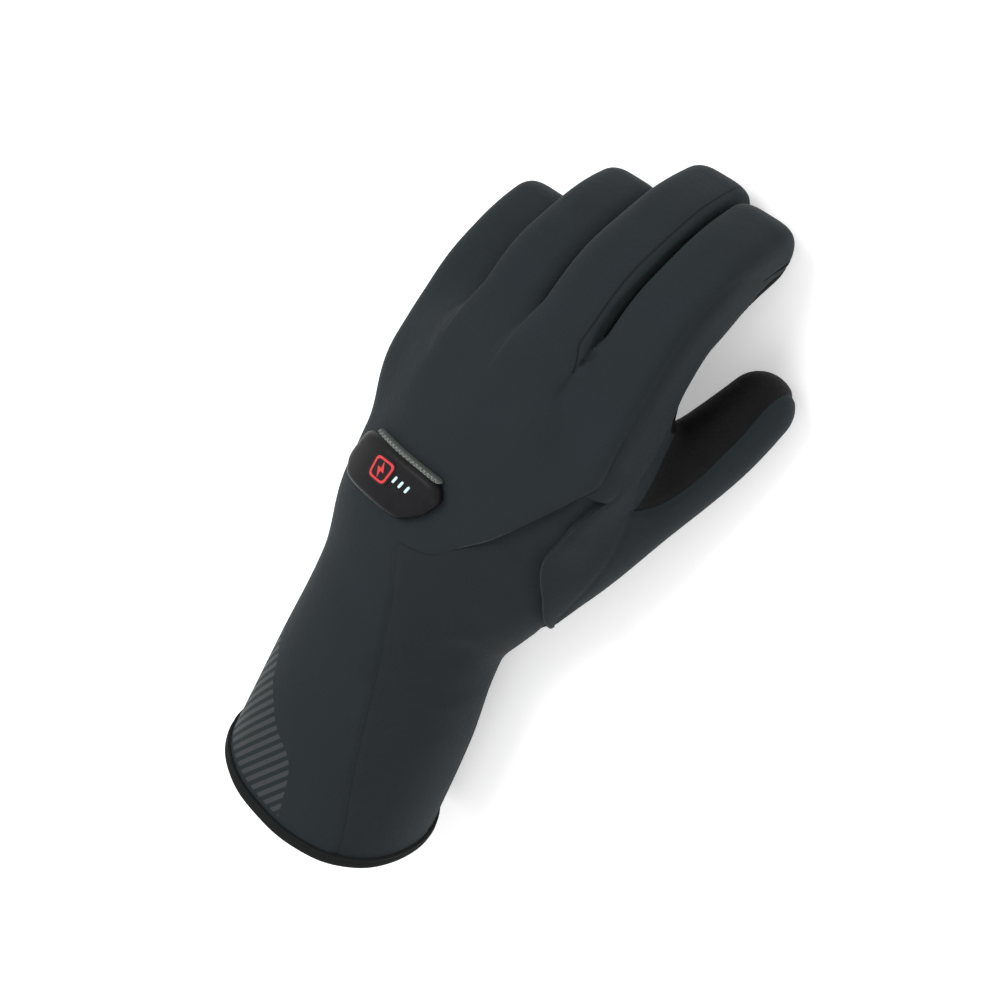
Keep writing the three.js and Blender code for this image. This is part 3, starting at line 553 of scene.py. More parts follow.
class Panel(Enum):
    """The glove's cloth pieces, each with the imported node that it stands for."""

    BACK = "back_panel"
    THUMB = "thumb_panel"
    GRIP = "thumb_palm"
    PALM = "palm_panel"
    RING_LITTLE = "fourchette_ring_little"
    MIDDLE_RING = "fourchette_middle_ring"
    INDEX_MIDDLE = "fourchette_index_middle"
    CUFF_BACK = "cuff_back"
    CUFF_PALM = "cuff_palm"


STRIPS = (Panel.RING_LITTLE, Panel.MIDDLE_RING, Panel.INDEX_MIDDLE)


def with_steps(corners: Array, longest: float) -> Array:
    """The same path with points put into its long straight stretches."""
    out = [corners[:1]]
    for a, b in zip(corners[:-1], corners[1:]):
        count = max(1, int(math.ceil(np.linalg.norm(b - a) / longest)))
        out.append(a + (b - a) * (np.arange(1, count + 1) / count)[:, None])
    return np.concatenate(out)


@dataclass
class Seams:
    """Where the glove's panels meet, as levels that are nought on a seam, in mm."""

    form: GloveForm
    side_view: tuple[float, float, float] = (0.435, 0.306, 0.847)
    wrist: float = 88.0
    wedge_end: float = 159.5
    hem_edge: float = 2.5
    strip_half: float = 4.0
    side_strip_half: float = 5.0
    strip_round: float = 12.0
    # x and y, as shares of the glove's width and length
    back_edge: Array = field(default_factory=lambda: np.array([
        (0.300, -0.20), (0.262, -0.06), (0.230, 0.056), (0.071, 0.320), (-0.060, 0.520), (-0.088, 0.558),
        (-0.020, 0.567), (0.048, 0.580), (0.105, 0.610), (0.211, 0.664), (0.335, 0.749), (0.408, 0.804),
        (0.446, 0.834), (0.450, 0.911), (0.444, 0.982), (0.436, 1.085), (0.430, 1.190), (0.470, 1.260),
        (0.550, 1.400),
    ]))
    # x, y and z, as shares of the glove's width, length and height
    thumb_edge: Array = field(default_factory=lambda: np.array([
        (0.300, 1.600, 0.900), (0.350, 0.950, 1.000), (0.417, 0.878, 0.848), (0.473, 0.840, 0.760),
        (0.439, 0.757, 0.865), (0.368, 0.672, 0.780), (0.366, 0.637, 0.724), (0.385, 0.598, 0.640),
        (0.396, 0.563, 0.564), (0.393, 0.544, 0.468), (0.440, 0.535, 0.300), (1.200, 0.470, -0.300),
    ]))
    # x and y, as shares of the glove's width and length
    ridge: Array = field(default_factory=lambda: np.array([
        (0.100, 0.790), (0.400, 0.795), (0.495, 0.803), (0.535, 0.818), (0.572, 0.848), (0.611, 0.900),
        (0.648, 0.984), (0.671, 1.071), (0.690, 1.160), (0.720, 1.300),
    ]))
    # place along, then the heights beside the index finger and further out, as shares
    low_edge: Array = field(default_factory=lambda: np.array([
        (0.400, 0.50, 0.50), (0.545, 0.47, 0.47), (0.660, 0.30, 0.30), (0.770, 0.22, 0.20),
        (0.830, 0.28, -0.50), (0.930, 0.42, -0.50), (1.000, 0.55, -0.50),
    ]))

    def __post_init__(self) -> None:
        """Lays out the paths in mm."""
        f = self.form
        size = np.array([f.width, f.length, f.height])
        self.back_path = SeamPath(with_steps(self.back_edge * size[:2], 25.0))
        self.ridge_path = SeamPath(with_steps(self.ridge * size[:2], 12.0))
        ahead = unit(np.array(self.side_view))
        right = unit(np.cross([0.0, 0.0, 1.0], ahead))
        self.plane = np.stack([right, np.cross(ahead, right)], 1)
        path = with_steps(self.thumb_edge * size, 12.0) @ self.plane
        self.thumb_path = SeamPath(path)
        inside = self.thumb_path.measure(np.array([[52.0, 185.0, 17.0]]) @ self.plane)[0][0]
        self.thumb_sign = math.copysign(1.0, inside)

    def back(self, p: Array) -> Array:
        """Distance from the back panel's edge, positive on the back."""
        return self.back_path.measure(p[:, :2])[0]

    def thumb(self, p: Array) -> Array:
        """Distance from the thumb panel's edge as it is seen from the side, positive on the thumb."""
        return self.thumb_path.measure(p @ self.plane)[0] * self.thumb_sign

    def grip(self, p: Array) -> Array:
        """Distance from the thumb's ridge, positive on its palm face."""
        return self.ridge_path.measure(p[:, :2])[0]

    def web(self, p: Array) -> Array:
        """Positive where a point is nearer to the thumb than to the hand."""
        line, radius = self.form.thumb_line
        hand = self.form.hand(p)
        for k in range(4):
            hand = np.minimum(hand, self.form.finger(k, p))
        return hand - self.form.beads(p, line, radius)

    def past_wrist(self, p: Array) -> Array:
        """Distance ahead of the seam across the wrist's underside."""
        return p[:, 1] - self.wrist

    def wedge_top(self, p: Array) -> Array:
        """Distance ahead of the place where the thumb panel's edge and the back's come together."""
        return p[:, 1] - self.wedge_end

    def hem(self, p: Array) -> Array:
        """Distance ahead of the cloth's edge in the binding."""
        return self.form.datum(p) - self.hem_edge

    def strip(self, p: Array, upper: bool) -> Array:
        """Half height of the strips between back and palm: full at the valleys and beside the index."""
        x, y = p[:, 0], p[:, 1]
        f = self.form
        total = np.zeros(len(p))
        for k in range(3):
            valley = f.valley_across(k, y)
            start = f.crotch - f.step_back(f.valley_across(k, f.crotch))
            end = min(f.finger_lines[k][0][-1, 1], f.finger_lines[k + 1][0][-1, 1]) + 8.0
            share = smooth01((y - start) / self.strip_round) * smooth01((end - y) / (1.5 * self.strip_round))
            reach = (f.finger_across(k + 1, y) - f.finger_across(k, y)) / 2
            half = self.strip_half
            if k == 2 and upper:
                half = np.where(x < valley, 11.0, 9.4)
            total += half * share * np.clip(1.6 - 1.6 * np.abs(x - valley) / reach, 0.0, 1.0)
        index = f.finger_across(3, y)
        end = f.finger_lines[3][0][-1, 1] + 8.0
        share = smooth01((y - f.crotch) / self.strip_round) * smooth01((end - y) / (1.5 * self.strip_round))
        return total + self.side_strip_half * share * np.clip((x - index) / (0.15 * f.width), 0.0, 1.0)

    def drop(self, p: Array) -> Array:
        """How far the seams turn down: around the fingertips and under the thumb's side of the wrist."""
        x, y = p[:, 0], p[:, 1]
        f = self.form
        total = np.zeros(len(p))
        for k, (line, radius, _) in enumerate(f.finger_lines):
            near = bump01(x - f.finger_across(k, y), 1.3 * radius[-1])
            total = np.maximum(total, near * 9.0 * smooth01((y - line[-1, 1] + 7.0) / 16.0))
        wrist = smooth01((x - 6.0) / 14.0) * (1.0 - smooth01((y - 100.0) / 12.0))
        side = smooth01((x - f.finger_across(3, y) - 2.0) / 8.0) * smooth01((y - 165.0) / 15.0)
        return np.maximum(total, 7.0 * side) + 12.0 * wrist

    def over(self, p: Array) -> Array:
        """Height over the strips, positive on the back."""
        return p[:, 2] - self.form.middle_height(p) - self.strip(p, True) + self.drop(p)

    def under(self, p: Array) -> Array:
        """Height over the palm's edge, negative on the palm."""
        return p[:, 2] - self.form.middle_height(p) + self.strip(p, False) + self.drop(p)

    def palm(self, p: Array) -> Array:
        """Height over the thumb panel's lower edge."""
        x, y = p[:, 0], p[:, 1]
        f = self.form
        level = f.middle_height(p) - self.strip(p, False) - self.drop(p)
        places = self.low_edge[:, 0] * f.length
        hand, past = np.moveaxis(through(places, self.low_edge[:, 1:], y), -1, 0) * f.height
        share = smooth01((y - places[4]) / (places[6] - places[4]))
        side = np.minimum(hand * (1 - share) + level * share, level)
        past = np.minimum(past, level)
        index = f.finger_across(3, y)
        u = (x - index) / (0.15 * f.width)
        v = (x - index - 0.15 * f.width) / (0.06 * f.width)
        height = level + (side - level) * np.clip(u, 0.0, 1.0)
        height = np.where(v > 0, side + (past - side) * np.clip(v, 0.0, 1.0), height)
        return p[:, 2] - np.where(y < places[0], level, height)

    def thumb_side(self, p: Array) -> Array:
        """Whether a point is on the side of the hand that the thumb panel may cover."""
        x, y = p[:, 0], p[:, 1]
        return ((y < 0.85 * self.form.length) & (x > 0)) | (x > self.form.finger_across(3, y) + 1.0)

    def panels(self, p: Array) -> Array:
        """Which panel each point of the surface belongs to, as its place in the list of panels.

        Args:
            p: points on the surface, away from the seams.
        Returns:
            One number a point.
        """
        names = list(Panel)
        over, under = self.over(p), self.under(p)
        back = (over > 0) & (self.back(p) > 0)
        thumb = (self.thumb(p) > 0) & self.thumb_side(p) & (self.palm(p) > 0) & ~back
        grip = (self.grip(p) > 0) & (self.web(p) > 0) & (p[:, 1] > 150.0)
        out = np.full(len(p), names.index(Panel.CUFF_BACK))
        out[(under <= 0) & (p[:, 1] <= self.wrist)] = names.index(Panel.CUFF_PALM)
        out[(under <= 0) & (p[:, 1] > self.wrist)] = names.index(Panel.PALM)
        middle = (over <= 0) & (under > 0) & (p[:, 1] > 140.0)
        for k, strip in enumerate(STRIPS):
            low, high = self.form.finger_across(k, p[:, 1]), self.form.finger_across(k + 1, p[:, 1])
            out[middle & (p[:, 0] > low) & (p[:, 0] <= high)] = names.index(strip)
        out[back] = names.index(Panel.BACK)
        closed = (out == names.index(Panel.CUFF_BACK)) & (p[:, 1] > self.wedge_end) & (p[:, 0] > 20.0)
        out[thumb | closed] = names.index(Panel.THUMB)
        out[grip] = names.index(Panel.GRIP)
        return out


@dataclass(frozen=True)
class Fold:
    """A soft dent or ridge in the cloth: a straight run in plan, its side reach and its rise, in mm."""

    start: tuple[float, float]
    end: tuple[float, float]
    reach: float
    rise: float

    def height(self, p: Array) -> Array:
        """How far the cloth rises at each point: a round hump across the run that fades at its ends."""
        a, b = np.array(self.start), np.array(self.end)
        span = b - a
        t = ((p[:, :2] - a) @ span) / (span @ span)
        away = p[:, :2] - a - np.clip(t, 0.0, 1.0)[:, None] * span
        return self.rise * bump01(np.hypot(away[:, 0], away[:, 1]), self.reach)


FOLDS = (
    Fold((24.0, 84.0), (6.0, 70.0), 9.0, -1.3),
    Fold((26.0, 74.0), (12.0, 62.0), 7.0, -0.9),
    Fold((22.0, 98.0), (2.0, 92.0), 8.0, -0.9),
    Fold((28.0, 92.0), (14.0, 80.0), 6.0, -0.6),
    Fold((20.0, 58.0), (8.0, 40.0), 10.0, -0.7),
    Fold((-30.0, 90.0), (-14.0, 100.0), 12.0, -0.5),
    Fold((36.0, 146.0), (26.0, 132.0), 8.0, -1.0),
    Fold((19.0, 190.0), (20.0, 193.0), 4.5, 0.7),
    Fold((19.4, 193.5), (20.4, 197.0), 1.8, -1.2),
)


@dataclass
class GloveSkin:
    """The glove's cloth: the surface of its form, cut at its seams into panels with a thickness."""

    form: GloveForm
    seams: Seams
    cell: float = 1.0

    def build(self) -> None:
        """Samples the form, draws its surface and cuts it along every seam."""
        low = np.array([-58.0, -9.0, -3.6])
        high = np.array([75.0, 262.0, 71.0])
        shape = np.ceil((high - low) / self.cell).astype(int) + 1
        axes = [low[k] + self.cell * np.arange(shape[k]) for k in range(3)]
        values = np.empty(shape)
        block = 24
        for i in range(0, shape[1], block):
            grid = np.stack(np.meshgrid(axes[0], axes[1][i:i + block], axes[2], indexing="ij"), -1)
            values[:, i:i + block] = self.form.value(grid.reshape(-1, 3)).reshape(grid.shape[:3])
        points, quads = surface_net(values, low, self.cell)
        points = self._onto_surface(points, 2)
        faces = halve_quads(points, quads)
        s = self.seams
        points, faces = cut_along(points, faces, s.hem)
        faces = faces[s.hem(points[faces].mean(1)) > 0]
        for level in (s.over, s.under, s.back, s.thumb, s.palm, s.grip, s.web, s.past_wrist, s.wedge_top):
            points, faces = cut_along(points, faces, level, s.panels)
        points = self._onto_surface(points, 1)
        self.panel = s.panels(points[faces].mean(1))
        self.normals = unit(self.form.slope(points))
        self.points = self._close_slits(points)
        self.plain = points
        self.faces = faces

    def _onto_surface(self, points: Array, times: int) -> Array:
        """Moves points onto the form's surface by a few steps along its slope."""
        for _ in range(times):
            slope = self.form.slope(points)
            step = self.form.value(points) / np.maximum((slope**2).sum(1), 0.1)
            points = points - slope * np.clip(step, -0.7, 0.7)[:, None]
        return points

    def _close_slits(self, points: Array) -> Array:
        """Brings the walls between two fingers together, each point near a valley moving towards it."""
        out = points.copy()
        reach = 5.0
        for k, left in enumerate((0.15, 0.15, 0.45)):
            valley = self.form.valley_across(k, points[:, 1])
            away = points[:, 0] - valley
            size = np.abs(away)
            near = size < reach
            outer = left + (size - self.form.slit) * (reach - left) / (reach - self.form.slit)
            closed = np.where(size < self.form.slit, size * left / self.form.slit, outer)
            share = smooth01((points[:, 1] - 172.0) / 10.0)
            out[near, 0] = (valley + np.sign(away) * (size + share * (closed - size)))[near]
        return out

    def relief(self, panel: Panel, p: Array) -> Array:
        """How far the cloth's face stands over the form: its step, seams, lapped edges, folds and unevenness.

        Args:
            panel: which one.
            p: points on the form.
        Returns:
            The rise in mm at each point.
        """
        s = self.seams
        back, along = s.back_path.measure(p[:, :2])
        thumb = s.thumb(p)
        over, under = s.over(p), s.under(p)
        upper = smooth01(over / 4.0 + 0.5)
        lap = upper * smooth01((along - 168.0) / 22.0) * smooth01((252.0 - along) / 10.0)
        seam = upper * (1.0 - lap)
        rise = -self.form.cloth_step(p[:, 1])
        if panel in (Panel.CUFF_BACK, Panel.CUFF_PALM):
            level = (1.0 - lap) * (1.0 - smooth01(np.abs(back) / 14.0)) * upper
            rise = rise * level - self.form.cuff_step * (1.0 - level)
        if panel is Panel.BACK:
            rise += lap * 1.0 * (1.0 - smooth01(np.abs(back) / 13.0))
            rise -= lap * 0.45 * bump01(back, 0.8)
            rise -= seam * (0.55 * bump01(back, 2.2))
        elif panel is Panel.CUFF_BACK:
            rise -= lap * 0.4 * bump01(back, 7.0)
            rise -= seam * (0.35 * bump01(back, 1.8))
            rise -= 0.5 * bump01(thumb, 6.0)
        elif panel is Panel.THUMB:
            edge = smooth01((p[:, 1] - 96.0) / 12.0)
            free = 1.0 - smooth01((p[:, 1] - 163.0) / 8.0)
            rise += edge * free * 1.2 * (1.0 - smooth01(np.abs(thumb) / 12.0))
            rise -= edge * free * 0.35 * bump01(thumb, 0.9)
            rise -= (1.0 - free) * 0.6 * bump01(back, 2.2)
            rise -= 0.5 * bump01(s.grip(p), 2.0) * (s.web(p) > -2.0)
        elif panel is Panel.GRIP:
            rise -= 0.5 * bump01(s.grip(p), 2.0)
        if panel in STRIPS or panel in (Panel.BACK, Panel.PALM):
            fingers = smooth01((p[:, 1] - 176.0) / 10.0)
            rise -= fingers * 0.5 * np.maximum(bump01(over, 1.8), bump01(under, 1.8))
        else:
            rise -= 0.3 * bump01(under, 1.6)
        facing = smooth01(p[:, 2] / 20.0 - 1.0)
        for fold in FOLDS:
            rise += facing * fold.height(p)
        x, y, z = p.T
        rise += 0.16 * np.sin(x / 9.1 + 0.7 * np.sin(y / 17.0)) * np.sin(y / 12.3 + 0.4) * np.cos(z / 11.0)
        return rise

    def edge_map(self, panel: Panel, p: Array) -> Array:
        """Distance from the lapped edge that shows on a panel, and place across the middle finger's strip.

        Args:
            panel: the back or the thumb's panel.
            p: its points.
        Returns:
            Both in mm, far from nought where neither shows. The seam leaves the gap and runs beside it.
        """
        # The distance places the cloth's painted edge highlight; the place across places the painted lit band
        # and the seam line beside the gap.
        s = self.seams
        beside = np.full(len(p), -99.0)
        if panel is Panel.BACK:
            away, along = s.back_path.measure(p[:, :2])
            shown = smooth01((along - 166.0) / 12.0) * (1.0 - smooth01((p[:, 0] - 24.0) / 5.0))
            start = 4.0 * (1.0 - smooth01((p[:, 1] - 190.0) / 9.0))
            beside = p[:, 0] - self.form.valley_across(2, p[:, 1]) + 3.6 - start
            beside = np.where(p[:, 1] > 189.0, beside, -99.0)
        else:
            away = s.thumb(p)
            shown = smooth01((p[:, 1] - 98.0) / 8.0) * (1.0 - smooth01((p[:, 1] - 158.0) / 6.0))
        away = np.where(p[:, 2] < 25.0, 9.0, np.abs(away)) + 4.0 * (1.0 - shown)
        away[len(p) // 2:] = 9.0
        return np.stack([away, beside], 1)

    def shell(self, panel: Panel) -> tuple[Array, Array]:
        """A panel as a closed body: its face, its lining and the rim that joins them along its seams.

        Args:
            panel: which one.
        Returns:
            Points in mm and triangles.
        """
        faces = self.faces[self.panel == list(Panel).index(panel)]
        used, faces = np.unique(faces, return_inverse=True)
        faces = faces.reshape(-1, 3)
        base, plain, normal = self.points[used], self.plain[used], self.normals[used]
        outer = base + normal * self.relief(panel, plain)[:, None]
        outer[:, 2] = np.maximum(outer[:, 2], 0.0)
        inner = base - normal * self.form.wall
        directed = np.concatenate([faces[:, [0, 1]], faces[:, [1, 2]], faces[:, [2, 0]]])
        size = len(used)
        key = directed[:, 0] * size + directed[:, 1]
        twin = directed[:, 1] * size + directed[:, 0]
        rim = directed[~np.isin(key, twin)]
        a, b = rim.T
        walls = np.concatenate([np.stack([b, a, a + size], 1), np.stack([b, a + size, b + size], 1)])
        return np.concatenate([outer, inner]), np.concatenate([faces, faces[:, ::-1] + size, walls])


def mesh_object(name: str, points: Array, faces: Sequence | Array, smooth: bool = True,
                sharp: float = 50.0) -> bpy.types.Object:
    """A mesh object from points in mm of the hem's frame, put into the row's frame in metres.

    Args:
        name: the piece's name.
        points: its points.
        faces: its faces, as an array or a list of corner lists.
        smooth: whether it is shaded smooth, with edges over the sharp angle kept.
        sharp: that angle, in degrees.
    Returns:
        The object, at the origin.
    """
    mesh = bpy.data.meshes.new(name)
    places = (np.asarray(points, float) - FOOTPRINT_MIDDLE) * MM
    mesh.from_pydata(places.tolist(), [], [list(map(int, f)) for f in faces])
    mesh.update()
    if smooth:
        mesh.polygons.foreach_set("use_smooth", np.ones(len(mesh.polygons), bool))
        mesh.set_sharp_from_angle(angle=math.radians(sharp))
    obj = bpy.data.objects.new(name, mesh)
    bpy.context.scene.collection.objects.link(obj)
    return obj


def give_map(obj: bpy.types.Object, name: str, place: Array) -> None:
    """Adds a map to a piece from two values at each of its points."""
    corners = np.empty(len(obj.data.loops), np.int32)
    obj.data.loops.foreach_get("vertex_index", corners)
    layer = obj.data.uv_layers.new(name=name)
    layer.data.foreach_set("uv", place[corners].astype(np.float32).ravel())


def loft(rings: Array) -> tuple[Array, list]:
    """A closed body from closed rings of equal count, with a fan on its first and last ring.

    Args:
        rings: points as rings, places around and coordinates; the rings run from the bottom up, each one
            turning anticlockwise as seen from above.
    Returns:
        Its points and faces.
    """
    count, around = rings.shape[:2]
    i, j = np.meshgrid(np.arange(count - 1), np.arange(around), indexing="ij")
    k = (j + 1) % around
    low, high = i * around, (i + 1) * around
    walls = np.stack([low + j, low + k, high + k, high + j], -1).reshape(-1, 4)
    j, k = np.arange(around), np.roll(np.arange(around), -1)
    last = (count - 1) * around
    middle = np.full(around, count * around)
    caps = np.stack([k, j, middle, last + j, last + k, middle + 1], -1).reshape(-1, 3)
    points = np.concatenate([rings.reshape(-1, 3), rings[:1].mean(1), rings[-1:].mean(1)])
    return points, walls.tolist() + caps.tolist()


def ring_of_sections(sections: Array) -> tuple[Array, list]:
    """A closed ring from closed sections: the last section joins the first one.

    Args:
        sections: points as sections, places around each section and coordinates.
    Returns:
        Its points and quads.
    """
    count, around = sections.shape[:2]
    i, j = np.meshgrid(np.arange(count), np.arange(around), indexing="ij")
    i2, j2 = (i + 1) % count, (j + 1) % around
    faces = np.stack([i * around + j, i * around + j2, i2 * around + j2, i2 * around + j], -1)
    return sections.reshape(-1, 3), faces.reshape(-1, 4)


def rounded_outline(corners: Array, share: float, steps: int) -> Array:
    """A closed outline with round corners: each is a quadratic curve that takes a share of both its sides.

    Args:
        corners: the corners in order.
        share: how much of each side a corner's curve takes, up to a half.
        steps: points on each curve.
    Returns:
        The outline's points.
    """
    before, after = np.roll(corners, 1, 0), np.roll(corners, -1, 0)
    start = corners + (before - corners) * share
    end = corners + (after - corners) * share
    t = np.linspace(0.0, 1.0, steps)[None, :, None]
    curve = start[:, None] * (1 - t) ** 2 + 2 * corners[:, None] * t * (1 - t) + end[:, None] * t * t
    return curve.reshape(-1, 2)


def finer(outline: Array, longest: float) -> Array:
    """A closed outline with points put into its long sides."""
    return with_steps(np.concatenate([outline, outline[:1]]), longest)[:-1]


class Sock:
    """A value inside a material's node tree, with arithmetic that adds the Math node it stands for."""

    def __init__(self, shader: "Shader", out: bpy.types.NodeSocket) -> None:
        """Keeps the node tree and the output that gives the value."""
        self.shader, self.out = shader, out

    def math(self, operation: str, *others: "Sock | float") -> "Sock":
        """Adds a Math node with this value as its first operand."""
        return self.shader.node("ShaderNodeMath", {"operation": operation}, dict(enumerate((self, *others))))

    def __add__(self, other: "Sock | float") -> "Sock":
        """Sum."""
        return self.math("ADD", other)

    def __radd__(self, other: float) -> "Sock":
        """Sum, from the right."""
        return self.math("ADD", other)

    def __sub__(self, other: "Sock | float") -> "Sock":
        """Difference."""
        return self.math("SUBTRACT", other)

    def __rsub__(self, other: float) -> "Sock":
        """Difference, from the right."""
        return (self * -1.0) + other

    def __mul__(self, other: "Sock | float") -> "Sock":
        """Product."""
        return self.math("MULTIPLY", other)

    def __rmul__(self, other: float) -> "Sock":
        """Product, from the right."""
        return self.math("MULTIPLY", other)

    def step_up(self, low: float, high: float) -> "Sock":
        """Rises smoothly from 0 to 1 between two values."""
        inputs = {"Value": self, "From Min": low, "From Max": high}
        return self.shader.node("ShaderNodeMapRange", {"interpolation_type": "SMOOTHSTEP"}, inputs)


class Shader:
    """A material: its Principled surface and the nodes that feed it."""

    def __init__(self, name: str) -> None:
        """Makes the material."""
        self.material = bpy.data.materials.new(name)
        self.material.use_nodes = True
        self.tree = self.material.node_tree
        self.surface = self.tree.nodes["Principled BSDF"]

    def node(self, kind: str, settings: dict, inputs: dict, output: str | int = 0) -> Sock:
        """Adds a node: its settings first, then its inputs as values or links.

        Args:
            kind: the node's type.
            settings: its properties by name.
            inputs: its inputs by name or number.
            output: which output is returned.
        Returns:
            That output.
        """
        node = self.tree.nodes.new(kind)
        for key, value in settings.items():
            setattr(node, key, value)
        for key, value in inputs.items():
            self._feed(node.inputs[key], value)
        return Sock(self, node.outputs[output])

    def _feed(self, socket: bpy.types.NodeSocket, value: object) -> None:
        """Sets an input to a value or links it."""
        if isinstance(value, Sock):
            self.tree.links.new(value.out, socket)
        elif socket.type == "RGBA" and len(value) == 3:
            socket.default_value = (*value, 1.0)
        else:
            socket.default_value = value

    def at(self, scale: float) -> Sock:
        """The place on the object, in units of 1 / scale metres."""
        place = self.node("ShaderNodeTexCoord", {}, {}, "Object")
        return self.node("ShaderNodeVectorMath", {"operation": "SCALE"}, {0: place, "Scale": scale})

    def uv(self, name: str) -> tuple[Sock, Sock]:
        """The two coordinates of a map."""
        place = self.node("ShaderNodeUVMap", {"uv_map": name}, {})
        return self.part(place, "X"), self.part(place, "Y")

    def part(self, vector: Sock, axis: str) -> Sock:
        """One coordinate of a vector."""
        return self.node("ShaderNodeSeparateXYZ", {}, {0: vector}, axis)

    def noise(self, per_mm: float, detail: float = 2.0, roughness: float = 0.5) -> Sock:
        """Even noise from 0 to 1 with so many cells a millimetre."""
        inputs = {"Vector": self.at(1000.0), "Scale": per_mm, "Detail": detail, "Roughness": roughness}
        return self.node("ShaderNodeTexNoise", {}, inputs, "Fac")

    def mix(self, share: Sock | float, low: Sock | tuple, high: Sock | tuple) -> Sock:
        """A colour between two colours."""
        inputs = {0: share, 6: low, 7: high}
        return self.node("ShaderNodeMix", {"data_type": "RGBA"}, inputs, 2)

    def bump(self, height: Sock, distance: float, onto: Sock | None = None) -> Sock:
        """A normal that follows a height, in mm for a height of one."""
        inputs = {"Height": height, "Distance": distance * MM, "Strength": 1.0}
        if onto is not None:
            inputs["Normal"] = onto
        return self.node("ShaderNodeBump", {}, inputs)

    def weave(self, pitch: float) -> Sock:
        """A woven grain for any heading: sin x cos y + sin y cos z + sin z cos x, with its pitch in mm."""
        place = self.at(2000.0 * math.pi / pitch)
        x, y, z = (self.part(place, axis) for axis in "XYZ")
        pairs = ((x, y), (y, z), (z, x))
        first, second, third = (a.math("SINE") * b.math("COSINE") for a, b in pairs)
        return (first + second + third) * 0.33 + 0.5

    def set(self, **inputs: object) -> None:
        """Sets or links the surface's inputs, with their names in lower case and underscores."""
        names = {key.name.lower().replace(" ", "_"): key for key in self.surface.inputs}
        for key, value in inputs.items():
            self._feed(names[key], value)


def linear(red: float, green: float, blue: float) -> tuple[float, float, float]:
    """A colour given as 0 to 255, as light."""
    share = np.array([red, green, blue]) / 255.0
    low, high = share / 12.92, ((share + 0.055) / 1.055) ** 2.4
    return tuple(float(v) for v in np.where(share <= 0.04045, low, high))


def shade(colour: Sequence[float], factor: float) -> tuple[float, ...]:
    """A colour made darker or lighter by a factor."""
    return tuple(c * factor for c in colour)


@dataclass(frozen=True)
class Cloth:
    """A fine soft shell cloth: its colour, thread pitch in mm, relief, roughness and sheen."""

    name: str
    colour: tuple[float, float, float]
    pitch: float = 0.9
    depth: float = 0.05
    roughness: float = 0.82
    sheen: float = 0.03
    shine: float = 0.15
    mottle: float = 0.08
    # edged cloth gets a painted highlight along its lapped edge, in the edge colour below, read through the
    # edge map
    edged: bool = False
    edge: tuple[float, float, float] = (0.036, 0.041, 0.044)

    def grain(self, s: Shader) -> tuple[Sock, Sock, Sock]:
        """The cloth's colour, roughness and normal.

        Args:
            s: the shader that the nodes go into.
        Returns:
            Base colour, roughness and normal.
        """
        weave = s.weave(self.pitch)
        fuzz = s.noise(2.2, 3.0, 0.6)
        patches = s.noise(0.045, 3.0, 0.55)
        share = (weave - 0.5) * 0.25 + (fuzz - 0.5) * 0.5 + (patches - 0.5) * (self.mottle * 8.0) + 0.5
        dark = shade(self.colour, 0.72)
        light = shade(self.colour, 1.28)
        colour = s.mix(share.step_up(-0.35, 1.35), dark, light)
        height = weave * 0.7 + fuzz * 0.6
        if self.edged:
            away, seam = s.uv("edge")
            # Near the lapped edge the colour is mixed towards the edge colour: a painted highlight where the
            # raised edge catches the light.
            painted_edge_highlight = (1.0 - away.step_up(0.1, 0.5)) * (fuzz.step_up(0.25, 0.65) * 0.6 + 0.25)
            colour = s.mix(painted_edge_highlight, colour, self.edge)
            # Between the seam line and the middle finger's gap the colour is mixed towards the lighter shade:
            # painted light for the lit wall of the strip.
            strip = seam.step_up(0.0, 0.5) * (1.0 - seam.step_up(3.0, 3.6))
            colour = s.mix(strip * 0.3, colour, light)
            line = 1.0 - seam.math("ABSOLUTE").step_up(0.15, 0.55)
            colour = s.mix(line * 0.6, colour, shade(self.colour, 0.3))
            height = height - line * 4.0
        rough = (fuzz - 0.5) * 0.12 + (patches - 0.5) * 0.1 + self.roughness
        normal = s.bump(s.noise(0.35, 3.0, 0.6), 0.18)
        normal = s.bump(height, self.depth, normal)
        return colour, rough, normal

    def make(self) -> bpy.types.Material:
        """The material."""
        s = Shader(self.name)
        colour, rough, normal = self.grain(s)
        s.set(base_color=colour, roughness=rough, normal=normal, sheen_weight=self.sheen, sheen_roughness=0.5)
        s.set(specular_ior_level=self.shine)
        return s.material


@dataclass(frozen=True)
class StripedCloth(Cloth):
    """The same cloth with reflective stripes where its maps say, joined by a stem at their far ends."""

    stripe: tuple[float, float, float] = (0.036, 0.039, 0.042)
    pitch_of_stripes: float = 3.04
    first: float = 0.4
    half_width: float = 0.78
    hem_gap: float = 5.4
    stem: tuple[float, float] = (38.6, 43.5)

    def make(self) -> bpy.types.Material:
        """The material."""
        s = Shader(self.name)
        colour, rough, normal = self.grain(s)
        inside, across = s.uv("print")
        around, along = s.uv("place")
        wave = ((across - self.first) * (1.0 / self.pitch_of_stripes) + 0.5).math("FRACT")
        off = (wave - 0.5).math("ABSOLUTE") * self.pitch_of_stripes
        bars = 1.0 - off.step_up(self.half_width - 0.14, self.half_width + 0.14)
        stem = around.step_up(self.stem[0] - 0.3, self.stem[0] + 0.3)
        lens = inside.step_up(-0.2, 0.2) * along.step_up(self.hem_gap - 0.2, self.hem_gap + 0.2)
        lens = lens * (1.0 - around.step_up(self.stem[1] - 0.3, self.stem[1] + 0.3))
        worn = s.noise(0.6, 3.0, 0.6).step_up(0.25, 0.45)
        mask = lens * bars.math("MAXIMUM", stem) * (worn * 0.25 + 0.75)
        s.set(base_color=s.mix(mask, colour, self.stripe), roughness=rough - mask * 0.2, normal=normal)
        s.set(sheen_weight=self.sheen, sheen_roughness=0.5, specular_ior_level=self.shine)
        return s.material


